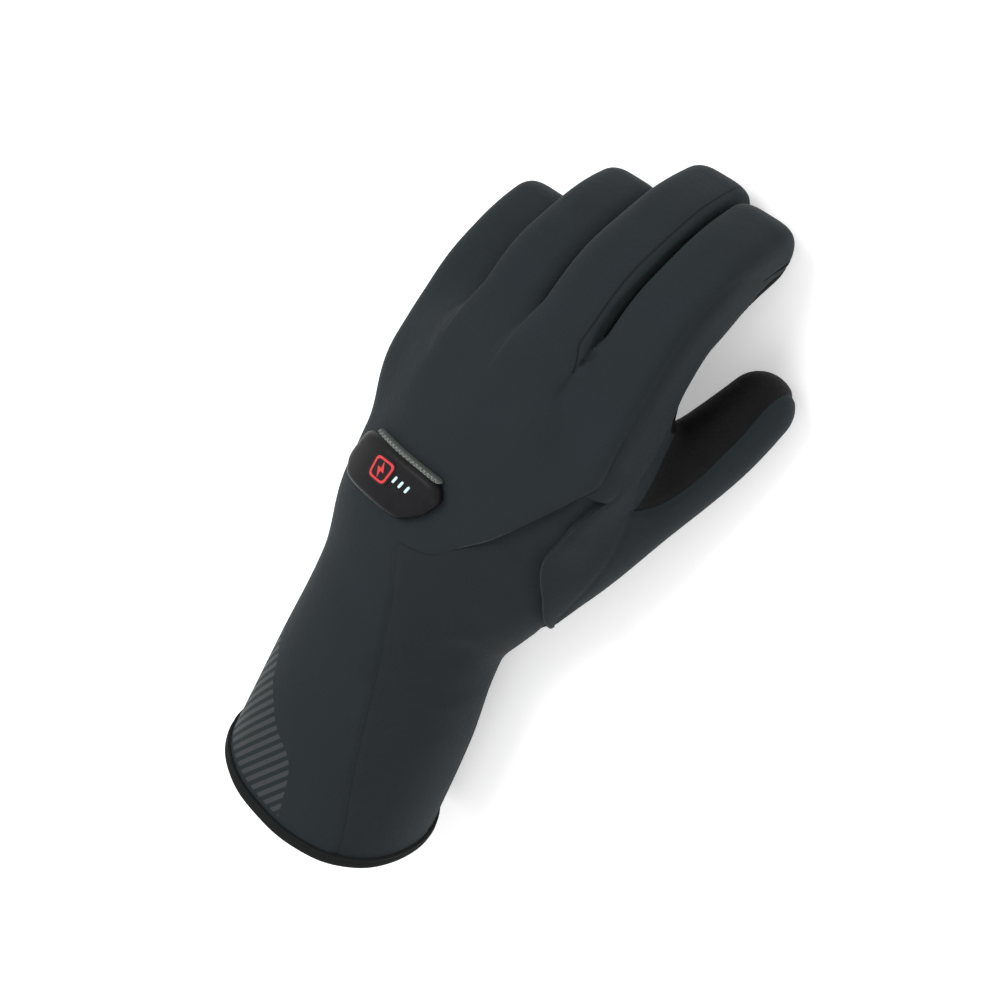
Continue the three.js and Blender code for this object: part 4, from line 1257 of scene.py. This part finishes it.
@dataclass(frozen=True)
class Facing:
    """The black smooth facing of palm and thumb: a pebbled grain under a low shine."""

    name: str
    colour: tuple[float, float, float]
    grain: float = 1.1
    roughness: float = 0.58

    def make(self) -> bpy.types.Material:
        """The material."""
        s = Shader(self.name)
        inputs = {"Vector": s.at(1000.0), "Scale": self.grain}
        cells = s.node("ShaderNodeTexVoronoi", {"feature": "DISTANCE_TO_EDGE"}, inputs)
        pebbles = cells.step_up(0.0, 0.22)
        fuzz = s.noise(0.12, 3.0, 0.6)
        colour = s.mix(fuzz.step_up(0.3, 0.7), shade(self.colour, 0.8), shade(self.colour, 1.25))
        rough = (fuzz - 0.5) * 0.2 + (1.0 - pebbles) * 0.1 + self.roughness
        normal = s.bump(pebbles, 0.07, s.bump(s.noise(0.25, 3.0, 0.6), 0.2))
        s.set(base_color=colour, roughness=rough, normal=normal, specular_ior_level=0.1)
        return s.material


@dataclass(frozen=True)
class Tape:
    """Folded binding tape with fine ribs across it."""

    name: str
    colour: tuple[float, float, float]

    def make(self) -> bpy.types.Material:
        """The material."""
        s = Shader(self.name)
        along, _ = s.uv("tape")
        ribs = (along * (2.0 * math.pi / 0.8)).math("SINE") * 0.5 + 0.5
        fuzz = s.noise(1.4, 3.0, 0.6)
        share = ribs * 0.4 + fuzz * 0.6
        colour = s.mix(share, shade(self.colour, 0.75), shade(self.colour, 1.25))
        s.set(base_color=colour, roughness=fuzz * 0.15 + 0.72, normal=s.bump(share, 0.09))
        s.set(specular_ior_level=0.15)
        return s.material


@dataclass(frozen=True)
class Plastic:
    """Moulded plastic or rubber: its colour, roughness and fine texture, with light handling wear."""

    name: str
    colour: tuple[float, float, float]
    roughness: float = 0.3
    coat: float = 0.0
    texture: float = 0.01
    shine: float = 0.3

    def make(self) -> bpy.types.Material:
        """The material."""
        s = Shader(self.name)
        wear = s.noise(0.25, 4.0, 0.6)
        fine = s.noise(3.0, 2.0)
        colour = s.mix(wear.step_up(0.3, 0.7), shade(self.colour, 0.9), shade(self.colour, 1.12))
        s.set(base_color=colour, roughness=(wear - 0.5) * 0.14 + (fine - 0.5) * 0.05 + self.roughness)
        s.set(normal=s.bump(fine, self.texture), coat_weight=self.coat, coat_roughness=0.12)
        s.set(specular_ior_level=self.shine)
        return s.material


@dataclass(frozen=True)
class Ribbon:
    """A ribbed rubber ribbon with a fine zigzag in it, with a painted highlight on its crests."""

    name: str
    # dark is the rubber's colour off the crests; light is the painted highlight on the crests
    dark: tuple[float, float, float]
    light: tuple[float, float, float]
    pitch: float = 1.7

    def make(self) -> bpy.types.Material:
        """The material."""
        s = Shader(self.name)
        along, across = s.uv("strip")
        tooth = ((along * (1.0 / self.pitch)).math("FRACT") - 0.5).math("ABSOLUTE") * 2.0
        line = ((across - 0.5) * 1.6 + tooth - 0.5).math("ABSOLUTE")
        crest = 1.0 - line.step_up(0.12, 0.34)
        fuzz = s.noise(1.6, 3.0, 0.6)
        # The crests are mixed towards the light colour: a painted highlight.
        colour = s.mix(crest * 0.75 + fuzz * 0.25, self.dark, self.light)
        s.set(base_color=colour, roughness=fuzz * 0.15 + 0.5, normal=s.bump(crest, 0.12))
        s.set(specular_ior_level=0.25)
        return s.material


@dataclass(frozen=True)
class Lit:
    """A mark on the controls that is lit from behind."""

    name: str
    colour: tuple[float, float, float]
    glow: float

    def make(self) -> bpy.types.Material:
        """The material."""
        s = Shader(self.name)
        uneven = s.noise(1.2, 2.0)
        colour = s.mix(uneven.step_up(0.2, 0.8), shade(self.colour, 0.85), self.colour)
        s.set(base_color=colour, roughness=uneven * 0.1 + 0.3)
        s.set(emission_color=colour, emission_strength=self.glow)
        return s.material


@dataclass
class Piece:
    """One finished piece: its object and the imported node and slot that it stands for."""

    obj: bpy.types.Object
    node: str
    slot: str
    soft: bool = False

    def place(self, material: bpy.types.Material) -> None:
        """Gives the piece its finish and ties it to the frame."""
        self.obj.data.materials.clear()
        self.obj.data.materials.append(material)
        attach(self.obj, "root")
        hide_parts(self.node)
        LOG.info("%s: %d faces", self.obj.name, len(self.obj.data.polygons))


@dataclass(frozen=True)
class StripedPatch:
    """The lens of slanting stripes on the little finger's side of the cuff, in mm around and along it."""

    # place along the cuff and place around it, in mm
    right_edge: Array = field(default_factory=lambda: np.array([
        (2.0, -8.0), (9.0, -6.0), (17.0, -4.0), (22.0, -1.8), (25.0, 1.5), (27.0, 6.5), (30.0, 12.0),
        (34.0, 16.6), (37.0, 21.0), (41.0, 24.4), (45.0, 27.0), (47.0, 30.5), (50.0, 35.0), (53.0, 40.0),
        (58.0, 50.0),
    ]))
    slant: float = 54.3
    step: float = 10.0

    def around(self, form: GloveForm, p: Array) -> Array:
        """Arc length from the crest of the cuff to each point, positive towards the little finger."""
        y = form.datum(p)
        half, middle, rise, across = form.section(y)
        u, v = (p[:, 0] - across) / half, (p[:, 2] - middle) / rise
        k = form.power / 2
        angle = np.arctan2(np.sign(v) * np.abs(v) ** k, np.sign(u) * np.abs(u) ** k)
        sweep = (angle + 0.5 * math.pi) % (2.0 * math.pi) - math.pi
        sweeps = np.linspace(-math.pi, math.pi, 361)
        levels = np.arange(0.0, 201.0, self.step)
        ring = form.hand_point(levels[:, None], 0.5 * math.pi + sweeps[None, :], 0.0)
        run = np.linalg.norm(np.diff(ring, axis=1), axis=2)
        arc = np.concatenate([np.zeros((len(levels), 1)), np.cumsum(run, axis=1)], 1)
        arc -= arc[:, 180:181]
        row = np.clip(y / self.step, 0.0, len(levels) - 1.001)
        column = np.clip((sweep + math.pi) / (sweeps[1] - sweeps[0]), 0.0, 359.999)
        i, j = row.astype(int), column.astype(int)
        a, b = row - i, column - j
        low = arc[i, j] * (1 - b) + arc[i, j + 1] * b
        high = arc[i + 1, j] * (1 - b) + arc[i + 1, j + 1] * b
        return low * (1 - a) + high * a

    def maps(self, form: GloveForm, p: Array) -> dict[str, Array]:
        """The two maps that the striped cloth reads.

        Args:
            form: the glove's form.
            p: points in mm.
        Returns:
            By name: distance in from the right edge and place across the stripes; places around and along.
        """
        around, along = self.around(form, p), form.datum(p)
        edge = through(self.right_edge[:, 0], self.right_edge[:, 1:], along)[:, 0]
        inside = np.where(along > self.right_edge[-1, 0], -9.0, around - edge)
        turn = math.radians(self.slant)
        across = around * math.sin(turn) + along * math.cos(turn)
        return {"print": np.stack([inside, across], 1), "place": np.stack([around, along], 1)}


@dataclass
class ClothPieces:
    """The glove's cloth panels as padded bodies."""

    skin: GloveSkin
    patch: StripedPatch

    def build(self) -> dict[Panel, bpy.types.Object]:
        """Makes every panel's object."""
        out = {}
        for panel in Panel:
            points, faces = self.skin.shell(panel)
            obj = mesh_object(f"cloth_{panel.value}", points, faces)
            if panel is Panel.BACK:
                for name, place in self.patch.maps(self.skin.form, points).items():
                    place[len(points) // 2:, 0] = -99.0
                    give_map(obj, name, place)
            if panel in (Panel.BACK, Panel.THUMB):
                give_map(obj, "edge", self.skin.edge_map(panel, points))
            out[panel] = obj
        return out


@dataclass
class HemBinding:
    """The binding folded over the cuff's edge: a rounded U section that runs around the hem."""

    form: GloveForm
    band: float = 4.0
    proud: float = 0.25
    around: int = 420

    def build(self) -> bpy.types.Object:
        """Sweeps the section around the hem."""
        out, band, inside = self.proud, self.band, -self.form.cuff_step - self.form.wall - 0.25
        profile = np.array([
            (band, -1.0), (band, out - 0.5), (band - 0.3, out - 0.1), (band - 0.9, out - 0.12),
            (band - 1.2, out - 0.3), (band - 1.5, out - 0.12), (band * 0.45, out + 0.02), (0.9, out - 0.15),
            (0.25, out - 0.7), (0.0, out - 1.5), (0.0, inside + 1.3), (0.25, inside + 0.5), (0.9, inside),
            (band * 0.5, inside - 0.1), (band - 0.4, inside), (band, inside + 0.4), (band, -2.6),
        ])
        turn = np.linspace(0.0, 2.0 * math.pi, self.around, endpoint=False)
        y, offset = profile[:, 0][None, :], profile[:, 1][None, :]
        angle = turn[:, None]
        wave = 0.12 * np.sin(angle * 9.0) * np.sin(angle * 4.0 + 1.0)
        sections = self.form.hand_point(y + wave, angle, offset + 0.0 * angle)
        points, faces = ring_of_sections(sections[:, ::-1])
        obj = mesh_object("hem_tape", points, faces)
        layer = obj.data.uv_layers.new(name="tape")
        run = np.linalg.norm(np.diff(sections[:, 0], axis=0, append=sections[:1, 0]), axis=1)
        along = np.concatenate([[0.0], np.cumsum(run)])
        count = profile.shape[0]
        i, j = np.meshgrid(np.arange(self.around), np.arange(count), indexing="ij")
        uv = np.stack([along[i], j, along[i], j + 1, along[i + 1], j + 1, along[i + 1], j], -1)
        layer.data.foreach_set("uv", uv.astype(np.float32).ravel())
        return obj


@dataclass
class ControlPod:
    """The control housing on the back of the hand, with its grip strip, power button and level bars."""

    form: GloveForm
    length: float = 42.0
    width: float = 20.5
    height: float = 4.2
    around: float = 16.0
    along: float = 126.5
    seat: float = 0.5
    lean: float = 4.0
    strip_width: float = 1.9
    strip_height: float = 2.3
    tooth_pitch: float = 1.9
    tooth_height: float = 0.5
    strip_points: int = 360
    button_place: tuple[float, float] = (18.3, 128.4)
    button_size: tuple[float, float] = (9.8, 9.6)
    bolt_size: float = 6.4
    first_bar: tuple[float, float] = (6.1, 129.0)
    bar_pitch: float = 2.85
    bar_size: tuple[float, float] = (0.95, 2.7)
    sunk: float = 0.3
    proud: float = 0.15
    # places around and along, as shares of the housing's length and width
    corners: Array = field(default_factory=lambda: np.array([
        (-0.40, 0.49), (-0.50, 0.23), (-0.44, -0.15), (-0.30, -0.47), (0.38, -0.50), (0.50, -0.20),
        (0.46, 0.48),
    ]))
    # share of the outline and share of the housing's height
    layers: Array = field(default_factory=lambda: np.array([
        (0.35, 0.120), (0.90, 0.120), (1.000, 0.120), (1.006, 0.300), (1.000, 0.480), (0.985, 0.600),
        (0.955, 0.715), (0.920, 0.800), (0.885, 0.865), (0.860, 0.900), (0.835, 0.935), (0.790, 0.965),
        (0.700, 0.985), (0.500, 1.000), (0.250, 1.000),
    ]))

    def on_back(self, plan: Array, out: Array | float) -> Array:
        """Points over the back from places around and along."""
        return self.form.on_back(plan[..., 0], plan[..., 1], out)

    def body(self) -> bpy.types.Object:
        """The housing: rings of its rounded outline, drawn in as they rise to a bevelled flat top."""
        outline = finer(rounded_outline(self.corners * (self.length, self.width), 0.3, 7), 1.4)
        rings = []
        for share, up in self.layers:
            drawn = outline - unit(outline) * (1.0 - share) * min(self.length, self.width) * 0.5
            plan = outline * share * 0.4 + drawn * 0.6 if share > 0.6 else outline * share
            rings.append(self.on_back(plan + (self.around, self.along), up * self.height))
        points, faces = loft(self._facing_out(rings))
        return mesh_object("pod_housing", points, faces, sharp=38.0)

    @staticmethod
    def _facing_out(rings: list[Array]) -> Array:
        """Rings in the order that makes a body from them face outwards."""
        stack = np.array(rings)
        ring = stack[-1]
        turn = np.cross(ring, np.roll(ring, -1, 0)).sum(0)
        return stack if turn[2] > 0 else stack[:, ::-1]

    def tablet(self, name: str, centre: tuple[float, float], size: tuple[float, float],
               rise: tuple[float, float], lean: float, corner: float,
               round_top: float = 0.12) -> bpy.types.Object:
        """A small rounded tablet on the housing.

        Args:
            name: the piece's name.
            centre: its place around and along, in mm.
            size: its width around and its length along.
            rise: the heights of its foot and its top over the cloth.
            lean: its turn, in degrees.
            corner: the share of its sides that each corner takes.
            round_top: how far its top edge is rounded.
        Returns:
            The object.
        """
        half = np.array(size) / 2
        square = np.array([(-1, -1), (1, -1), (1, 1), (-1, 1)]) * half
        outline = finer(rounded_outline(square, corner, 6), 1.2)
        c, s = math.cos(math.radians(lean)), math.sin(math.radians(lean))
        turn = np.array([(c, s), (-s, c)])
        rings = []
        small = min(size) / 2
        insets = (small * 0.6, 0.0, 0.0, round_top * 0.3, round_top, small * 0.6)
        for inset, up in zip(insets, (0.0, 0.0, 1.0, 1.0, 1.0, 1.0)):
            drawn = outline * (1.0 - inset / half)
            height = rise[0] + (rise[1] - rise[0]) * up - (round_top * 0.5 if inset == 0.0 and up else 0.0)
            rings.append(self.on_back(drawn @ turn + centre, height))
        points, faces = loft(self._facing_out(rings))
        return mesh_object(name, points, faces, sharp=45.0)

    def mark(self, name: str, outer: Array, inner: Array | None, centre: tuple[float, float],
             rise: tuple[float, float]) -> bpy.types.Object:
        """A thin raised mark: a frame between two outlines of equal count, or a filled outline.

        Args:
            name: the piece's name.
            outer: its outline.
            inner: the outline of its opening, or nothing.
            centre: its place around and along, in mm.
            rise: the heights of its foot and its top over the cloth.
        Returns:
            The object.
        """
        low, high = rise
        place = [self.on_back(outer + centre, height) for height in (low, high)]
        if inner is None:
            count = len(outer)
            points = np.concatenate(place)
            faces = [tuple(range(count, 2 * count)), tuple(range(count - 1, -1, -1))]
            faces += [(i, (i + 1) % count, (i + 1) % count + count, i + count) for i in range(count)]
        else:
            place += [self.on_back(inner + centre, height) for height in (high, low)]
            points, faces = ring_of_sections(np.stack(place, 1))
        obj = mesh_object(name, points, faces, smooth=False)
        self._turn_out(obj)
        return obj

    @staticmethod
    def _turn_out(obj: bpy.types.Object) -> None:
        """Turns a closed body's faces outwards."""
        mesh = bmesh.new()
        mesh.from_mesh(obj.data)
        bmesh.ops.recalc_face_normals(mesh, faces=mesh.faces)
        mesh.to_mesh(obj.data)
        mesh.free()

    def strip(self) -> bpy.types.Object:
        """The grip strip beside the housing: a low ribbon whose top rises and falls in a fine zigzag."""
        near = self.along + 0.49 * self.width - 0.7
        start, end = self.around - 0.40 * self.length, self.around + 0.37 * self.length
        run = np.linspace(0.0, 1.0, self.strip_points)
        place = start + (end - start) * run
        ease = np.sqrt(np.clip(1.0 - np.abs(2.0 * run - 1.0) ** 24, 0.0, 1.0))
        tooth = np.abs(((place / self.tooth_pitch) % 1.0) * 2.0 - 1.0)
        profile = np.array([
            (0.0, 0.0), (0.0, 0.7), (0.12, 0.92), (0.32, 1.0), (0.5, 1.0), (0.68, 1.0), (0.88, 0.92),
            (1.0, 0.7), (1.0, 0.0),
        ])
        sections = []
        for across, up in profile:
            zig = (tooth - 0.5) * self.tooth_height * (0.2 < across < 0.8)
            width = (across - 0.5) * self.strip_width * ease + 0.5 * self.strip_width
            height = self.seat + (self.strip_height * up + zig * np.sign(0.5 - across + 1e-6)) * ease
            sections.append(self.form.on_back(place, near + width, height))
        rings = np.stack(sections, 1)
        points, faces = loft(rings)
        obj = mesh_object("grip_strip", points, faces, sharp=60.0)
        self._turn_out(obj)
        run = np.concatenate([np.repeat(place, len(profile)), [place[0], place[-1]]])
        side = np.concatenate([np.tile(profile[:, 0], self.strip_points), [0.5, 0.5]])
        give_map(obj, "strip", np.stack([run, side], 1))
        return obj


def bolt_outline(size: float) -> Array:
    """The outline of a lightning bolt in a square of that size."""
    corners = np.array([
        (0.10, 0.50), (-0.28, -0.06), (-0.03, -0.06), (-0.10, -0.50), (0.28, 0.08), (0.03, 0.08),
    ])
    return corners * size


def join(name: str, objects: Sequence[bpy.types.Object]) -> bpy.types.Object:
    """One object from several, each one's materials kept in slots of their own."""
    mesh = bmesh.new()
    materials = []
    for obj in objects:
        before = len(mesh.faces)
        mesh.from_mesh(obj.data)
        mesh.faces.ensure_lookup_table()
        for face in mesh.faces[before:]:
            face.material_index = len(materials)
        materials.append(obj.data.materials[0])
    data = bpy.data.meshes.new(name)
    mesh.to_mesh(data)
    mesh.free()
    for material in materials:
        data.materials.append(material)
    for obj in objects:
        bpy.data.objects.remove(obj)
    out = bpy.data.objects.new(name, data)
    bpy.context.scene.collection.objects.link(out)
    return out


@dataclass(frozen=True)
class PhotoView:
    """The camera at the photograph's angle: where it looks, from where, and how the picture is turned."""

    target: tuple[float, float, float] = (1.85, 1.0, 41.6)
    towards: tuple[float, float, float] = (0.4353, 0.3062, 0.8466)
    turn: float = 64.5
    pitch: float = 4.7
    lens: float = 75.0
    sensor: float = 36.0
    distance: float = 672.0
    lower: float = 6.45

    def build(self) -> bpy.types.Object:
        """Makes the camera and turns it to the target."""
        back = Vector(self.towards).normalized()
        tilt = math.radians(self.pitch)
        lengthwise = Vector((0.0, math.cos(tilt), math.sin(tilt)))
        seen = (lengthwise - back * lengthwise.dot(back)).normalized()
        beside = seen.cross(back)
        a = math.radians(self.turn)
        right = seen * math.cos(a) + beside * math.sin(a)
        up = seen * math.sin(a) - beside * math.cos(a)
        place = (Vector(self.target) + back * self.distance + up * self.lower) * MM
        data = bpy.data.cameras.new("photo_camera")
        data.lens, data.sensor_width = self.lens, self.sensor
        data.clip_start, data.clip_end = 0.01, 20.0
        camera = bpy.data.objects.new("photo_camera", data)
        camera.matrix_world = Matrix.Translation(place) @ Matrix((right, up, back)).transposed().to_4x4()
        bpy.context.scene.collection.objects.link(camera)
        bpy.context.scene.camera = camera
        return camera


@dataclass(frozen=True)
class Softbox:
    """A large soft light aimed at the glove: its place and size in metres, and its power in watts."""

    name: str
    place: tuple[float, float, float]
    size: float
    power: float

    def build(self) -> None:
        """Makes the light."""
        data = bpy.data.lights.new(self.name, "AREA")
        data.shape, data.size, data.energy = "DISK", self.size, self.power
        light = bpy.data.objects.new(self.name, data)
        light.location = self.place
        heading = Vector(self.place) - Vector((0.0, 0.0, 0.03))
        light.rotation_euler = heading.to_track_quat("Z", "Y").to_euler()
        bpy.context.scene.collection.objects.link(light)


@dataclass(frozen=True)
class Studio:
    """A pale floor under even white light."""

    floor_side: float = 6.0
    ambient: float = 0.8
    floor_glow: float = 0.35
    lights: tuple[Softbox, ...] = (
        Softbox("key", (-0.55, 0.25, 1.1), 0.9, 9.0),
        Softbox("fill", (0.6, -0.6, 1.0), 1.0, 3.0),
    )

    def build(self) -> None:
        """Makes the floor, the surround and the lights."""
        corners = ((-1.0, -1.0, 0.0), (1.0, -1.0, 0.0), (1.0, 1.0, 0.0), (-1.0, 1.0, 0.0))
        mesh = bpy.data.meshes.new("floor")
        mesh.from_pydata(np.multiply(corners, self.floor_side / 2).tolist(), [], [(0, 1, 2, 3)])
        floor = bpy.data.objects.new("floor", mesh)
        bpy.context.scene.collection.objects.link(floor)
        s = Shader("floor_white")
        s.set(base_color=(0.93, 0.93, 0.93, 1.0), roughness=0.9)
        s.set(emission_color=(1.0, 1.0, 1.0, 1.0), emission_strength=self.floor_glow)
        mesh.materials.append(s.material)
        for light in self.lights:
            light.build()
        world = bpy.data.worlds.new("surround")
        world.use_nodes = True
        sky = world.node_tree.nodes["Background"]
        sky.inputs["Color"].default_value = (1.0, 1.0, 1.0, 1.0)
        sky.inputs["Strength"].default_value = self.ambient
        scene = bpy.context.scene
        scene.world = world
        scene.view_settings.view_transform = "Standard"


# edged=True gives the back and thumb cloth their painted edge highlight; the back also gets the painted lit
# band beside the middle finger's gap.
BACK_CLOTH = StripedCloth("back_softshell", linear(30, 36, 39), edged=True)
CUFF_CLOTH = Cloth("cuff_softshell", linear(29, 34, 37))
THUMB_CLOTH = Cloth("thumb_softshell", linear(28, 34, 37), edged=True)
STRIP_CLOTH = Cloth("strip_softshell", linear(28, 33, 34))
PALM_FACING = Facing("palm_facing", linear(14, 14, 14))
HEM_TAPE = Tape("hem_tape", linear(20, 22, 21))
POD_GLOSS = Plastic("pod_gloss", linear(22, 21, 23), 0.42, 0.0, shine=0.12)
# the rubber ribbon's second colour is the painted highlight on its crests
STRIP_RUBBER = Ribbon("strip_rubber", linear(64, 68, 65), linear(128, 133, 129))
BUTTON_GLOSS = Plastic("button_gloss", linear(17, 16, 18), 0.3, 0.05, shine=0.2)
RED_LIT = Lit("red_lit", linear(190, 40, 45), 0.35)
BAR_LIT = Lit("bar_lit", linear(190, 215, 220), 0.3)

FINISHES = {
    Panel.BACK: (BACK_CLOTH, "back_cloth"),
    Panel.THUMB: (THUMB_CLOTH, "thumb_cloth"),
    Panel.GRIP: (PALM_FACING, "palm_leather"),
    Panel.PALM: (PALM_FACING, "palm_leather"),
    Panel.RING_LITTLE: (STRIP_CLOTH, "fourchette_cloth"),
    Panel.MIDDLE_RING: (STRIP_CLOTH, "fourchette_cloth"),
    Panel.INDEX_MIDDLE: (STRIP_CLOTH, "fourchette_cloth"),
    Panel.CUFF_BACK: (CUFF_CLOTH, "cuff_cloth"),
    Panel.CUFF_PALM: (CUFF_CLOTH, "cuff_palm_cloth"),
}


def build_cloth(form: GloveForm) -> None:
    """Makes the cloth panels and gives each its finish."""
    skin = GloveSkin(form, Seams(form), cell=1.0)
    skin.build()
    materials = {}
    for panel, obj in ClothPieces(skin, StripedPatch()).build().items():
        finish, slot = FINISHES[panel]
        if finish.name not in materials:
            materials[finish.name] = finish.make()
        Piece(obj, panel.value, slot, soft=True).place(materials[finish.name])


def build_controls(form: GloveForm) -> None:
    """Makes the control housing and what is on it."""
    pod = ControlPod(form)
    Piece(pod.body(), "control_pod", "pod_plastic").place(POD_GLOSS.make())
    Piece(pod.strip(), "pod_piping", "piping_rubber").place(STRIP_RUBBER.make())
    foot, top = pod.height - pod.sunk, pod.height + pod.proud
    centre = pod.button_place
    cap = pod.tablet("button_cap", centre, pod.button_size, (foot, top), -pod.lean, 0.28)
    shield = np.array([(4.6, 3.7), (-4.1, 4.5), (-4.2, -3.8), (3.1, -4.3)])
    outer = finer(rounded_outline(shield, 0.24, 6), 1.2)
    ring = pod.mark("button_ring", outer, outer * 0.8, centre, (top - 0.1, top + 0.05))
    bolt = pod.mark("button_bolt", bolt_outline(pod.bolt_size), None, centre, (top - 0.1, top + 0.05))
    red = RED_LIT.make()
    for obj, material in ((cap, BUTTON_GLOSS.make()), (ring, red), (bolt, red)):
        obj.data.materials.append(material)
    button = join("power_button_cap", (cap, ring, bolt))
    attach(button, "root")
    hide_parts("power_button")
    white = BAR_LIT.make()
    across, along = pod.first_bar
    for k in range(3):
        place = (across + pod.bar_pitch * k, along)
        bar = pod.tablet(f"level_bar_{k + 1}", place, pod.bar_size, (foot, top), pod.lean, 0.3)
        Piece(bar, f"led_bar_{k + 1}", "led_plastic").place(white)


def main() -> None:
    """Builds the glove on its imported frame, the studio and the camera."""
    logging.basicConfig(level=logging.INFO, format="%(message)s")
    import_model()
    form = GloveForm()
    build_cloth(form)
    Piece(HemBinding(form).build(), "hem_binding", "hem_tape").place(HEM_TAPE.make())
    build_controls(form)
    Studio().build()
    PhotoView().build()


if __name__ == "__main__":
    main()
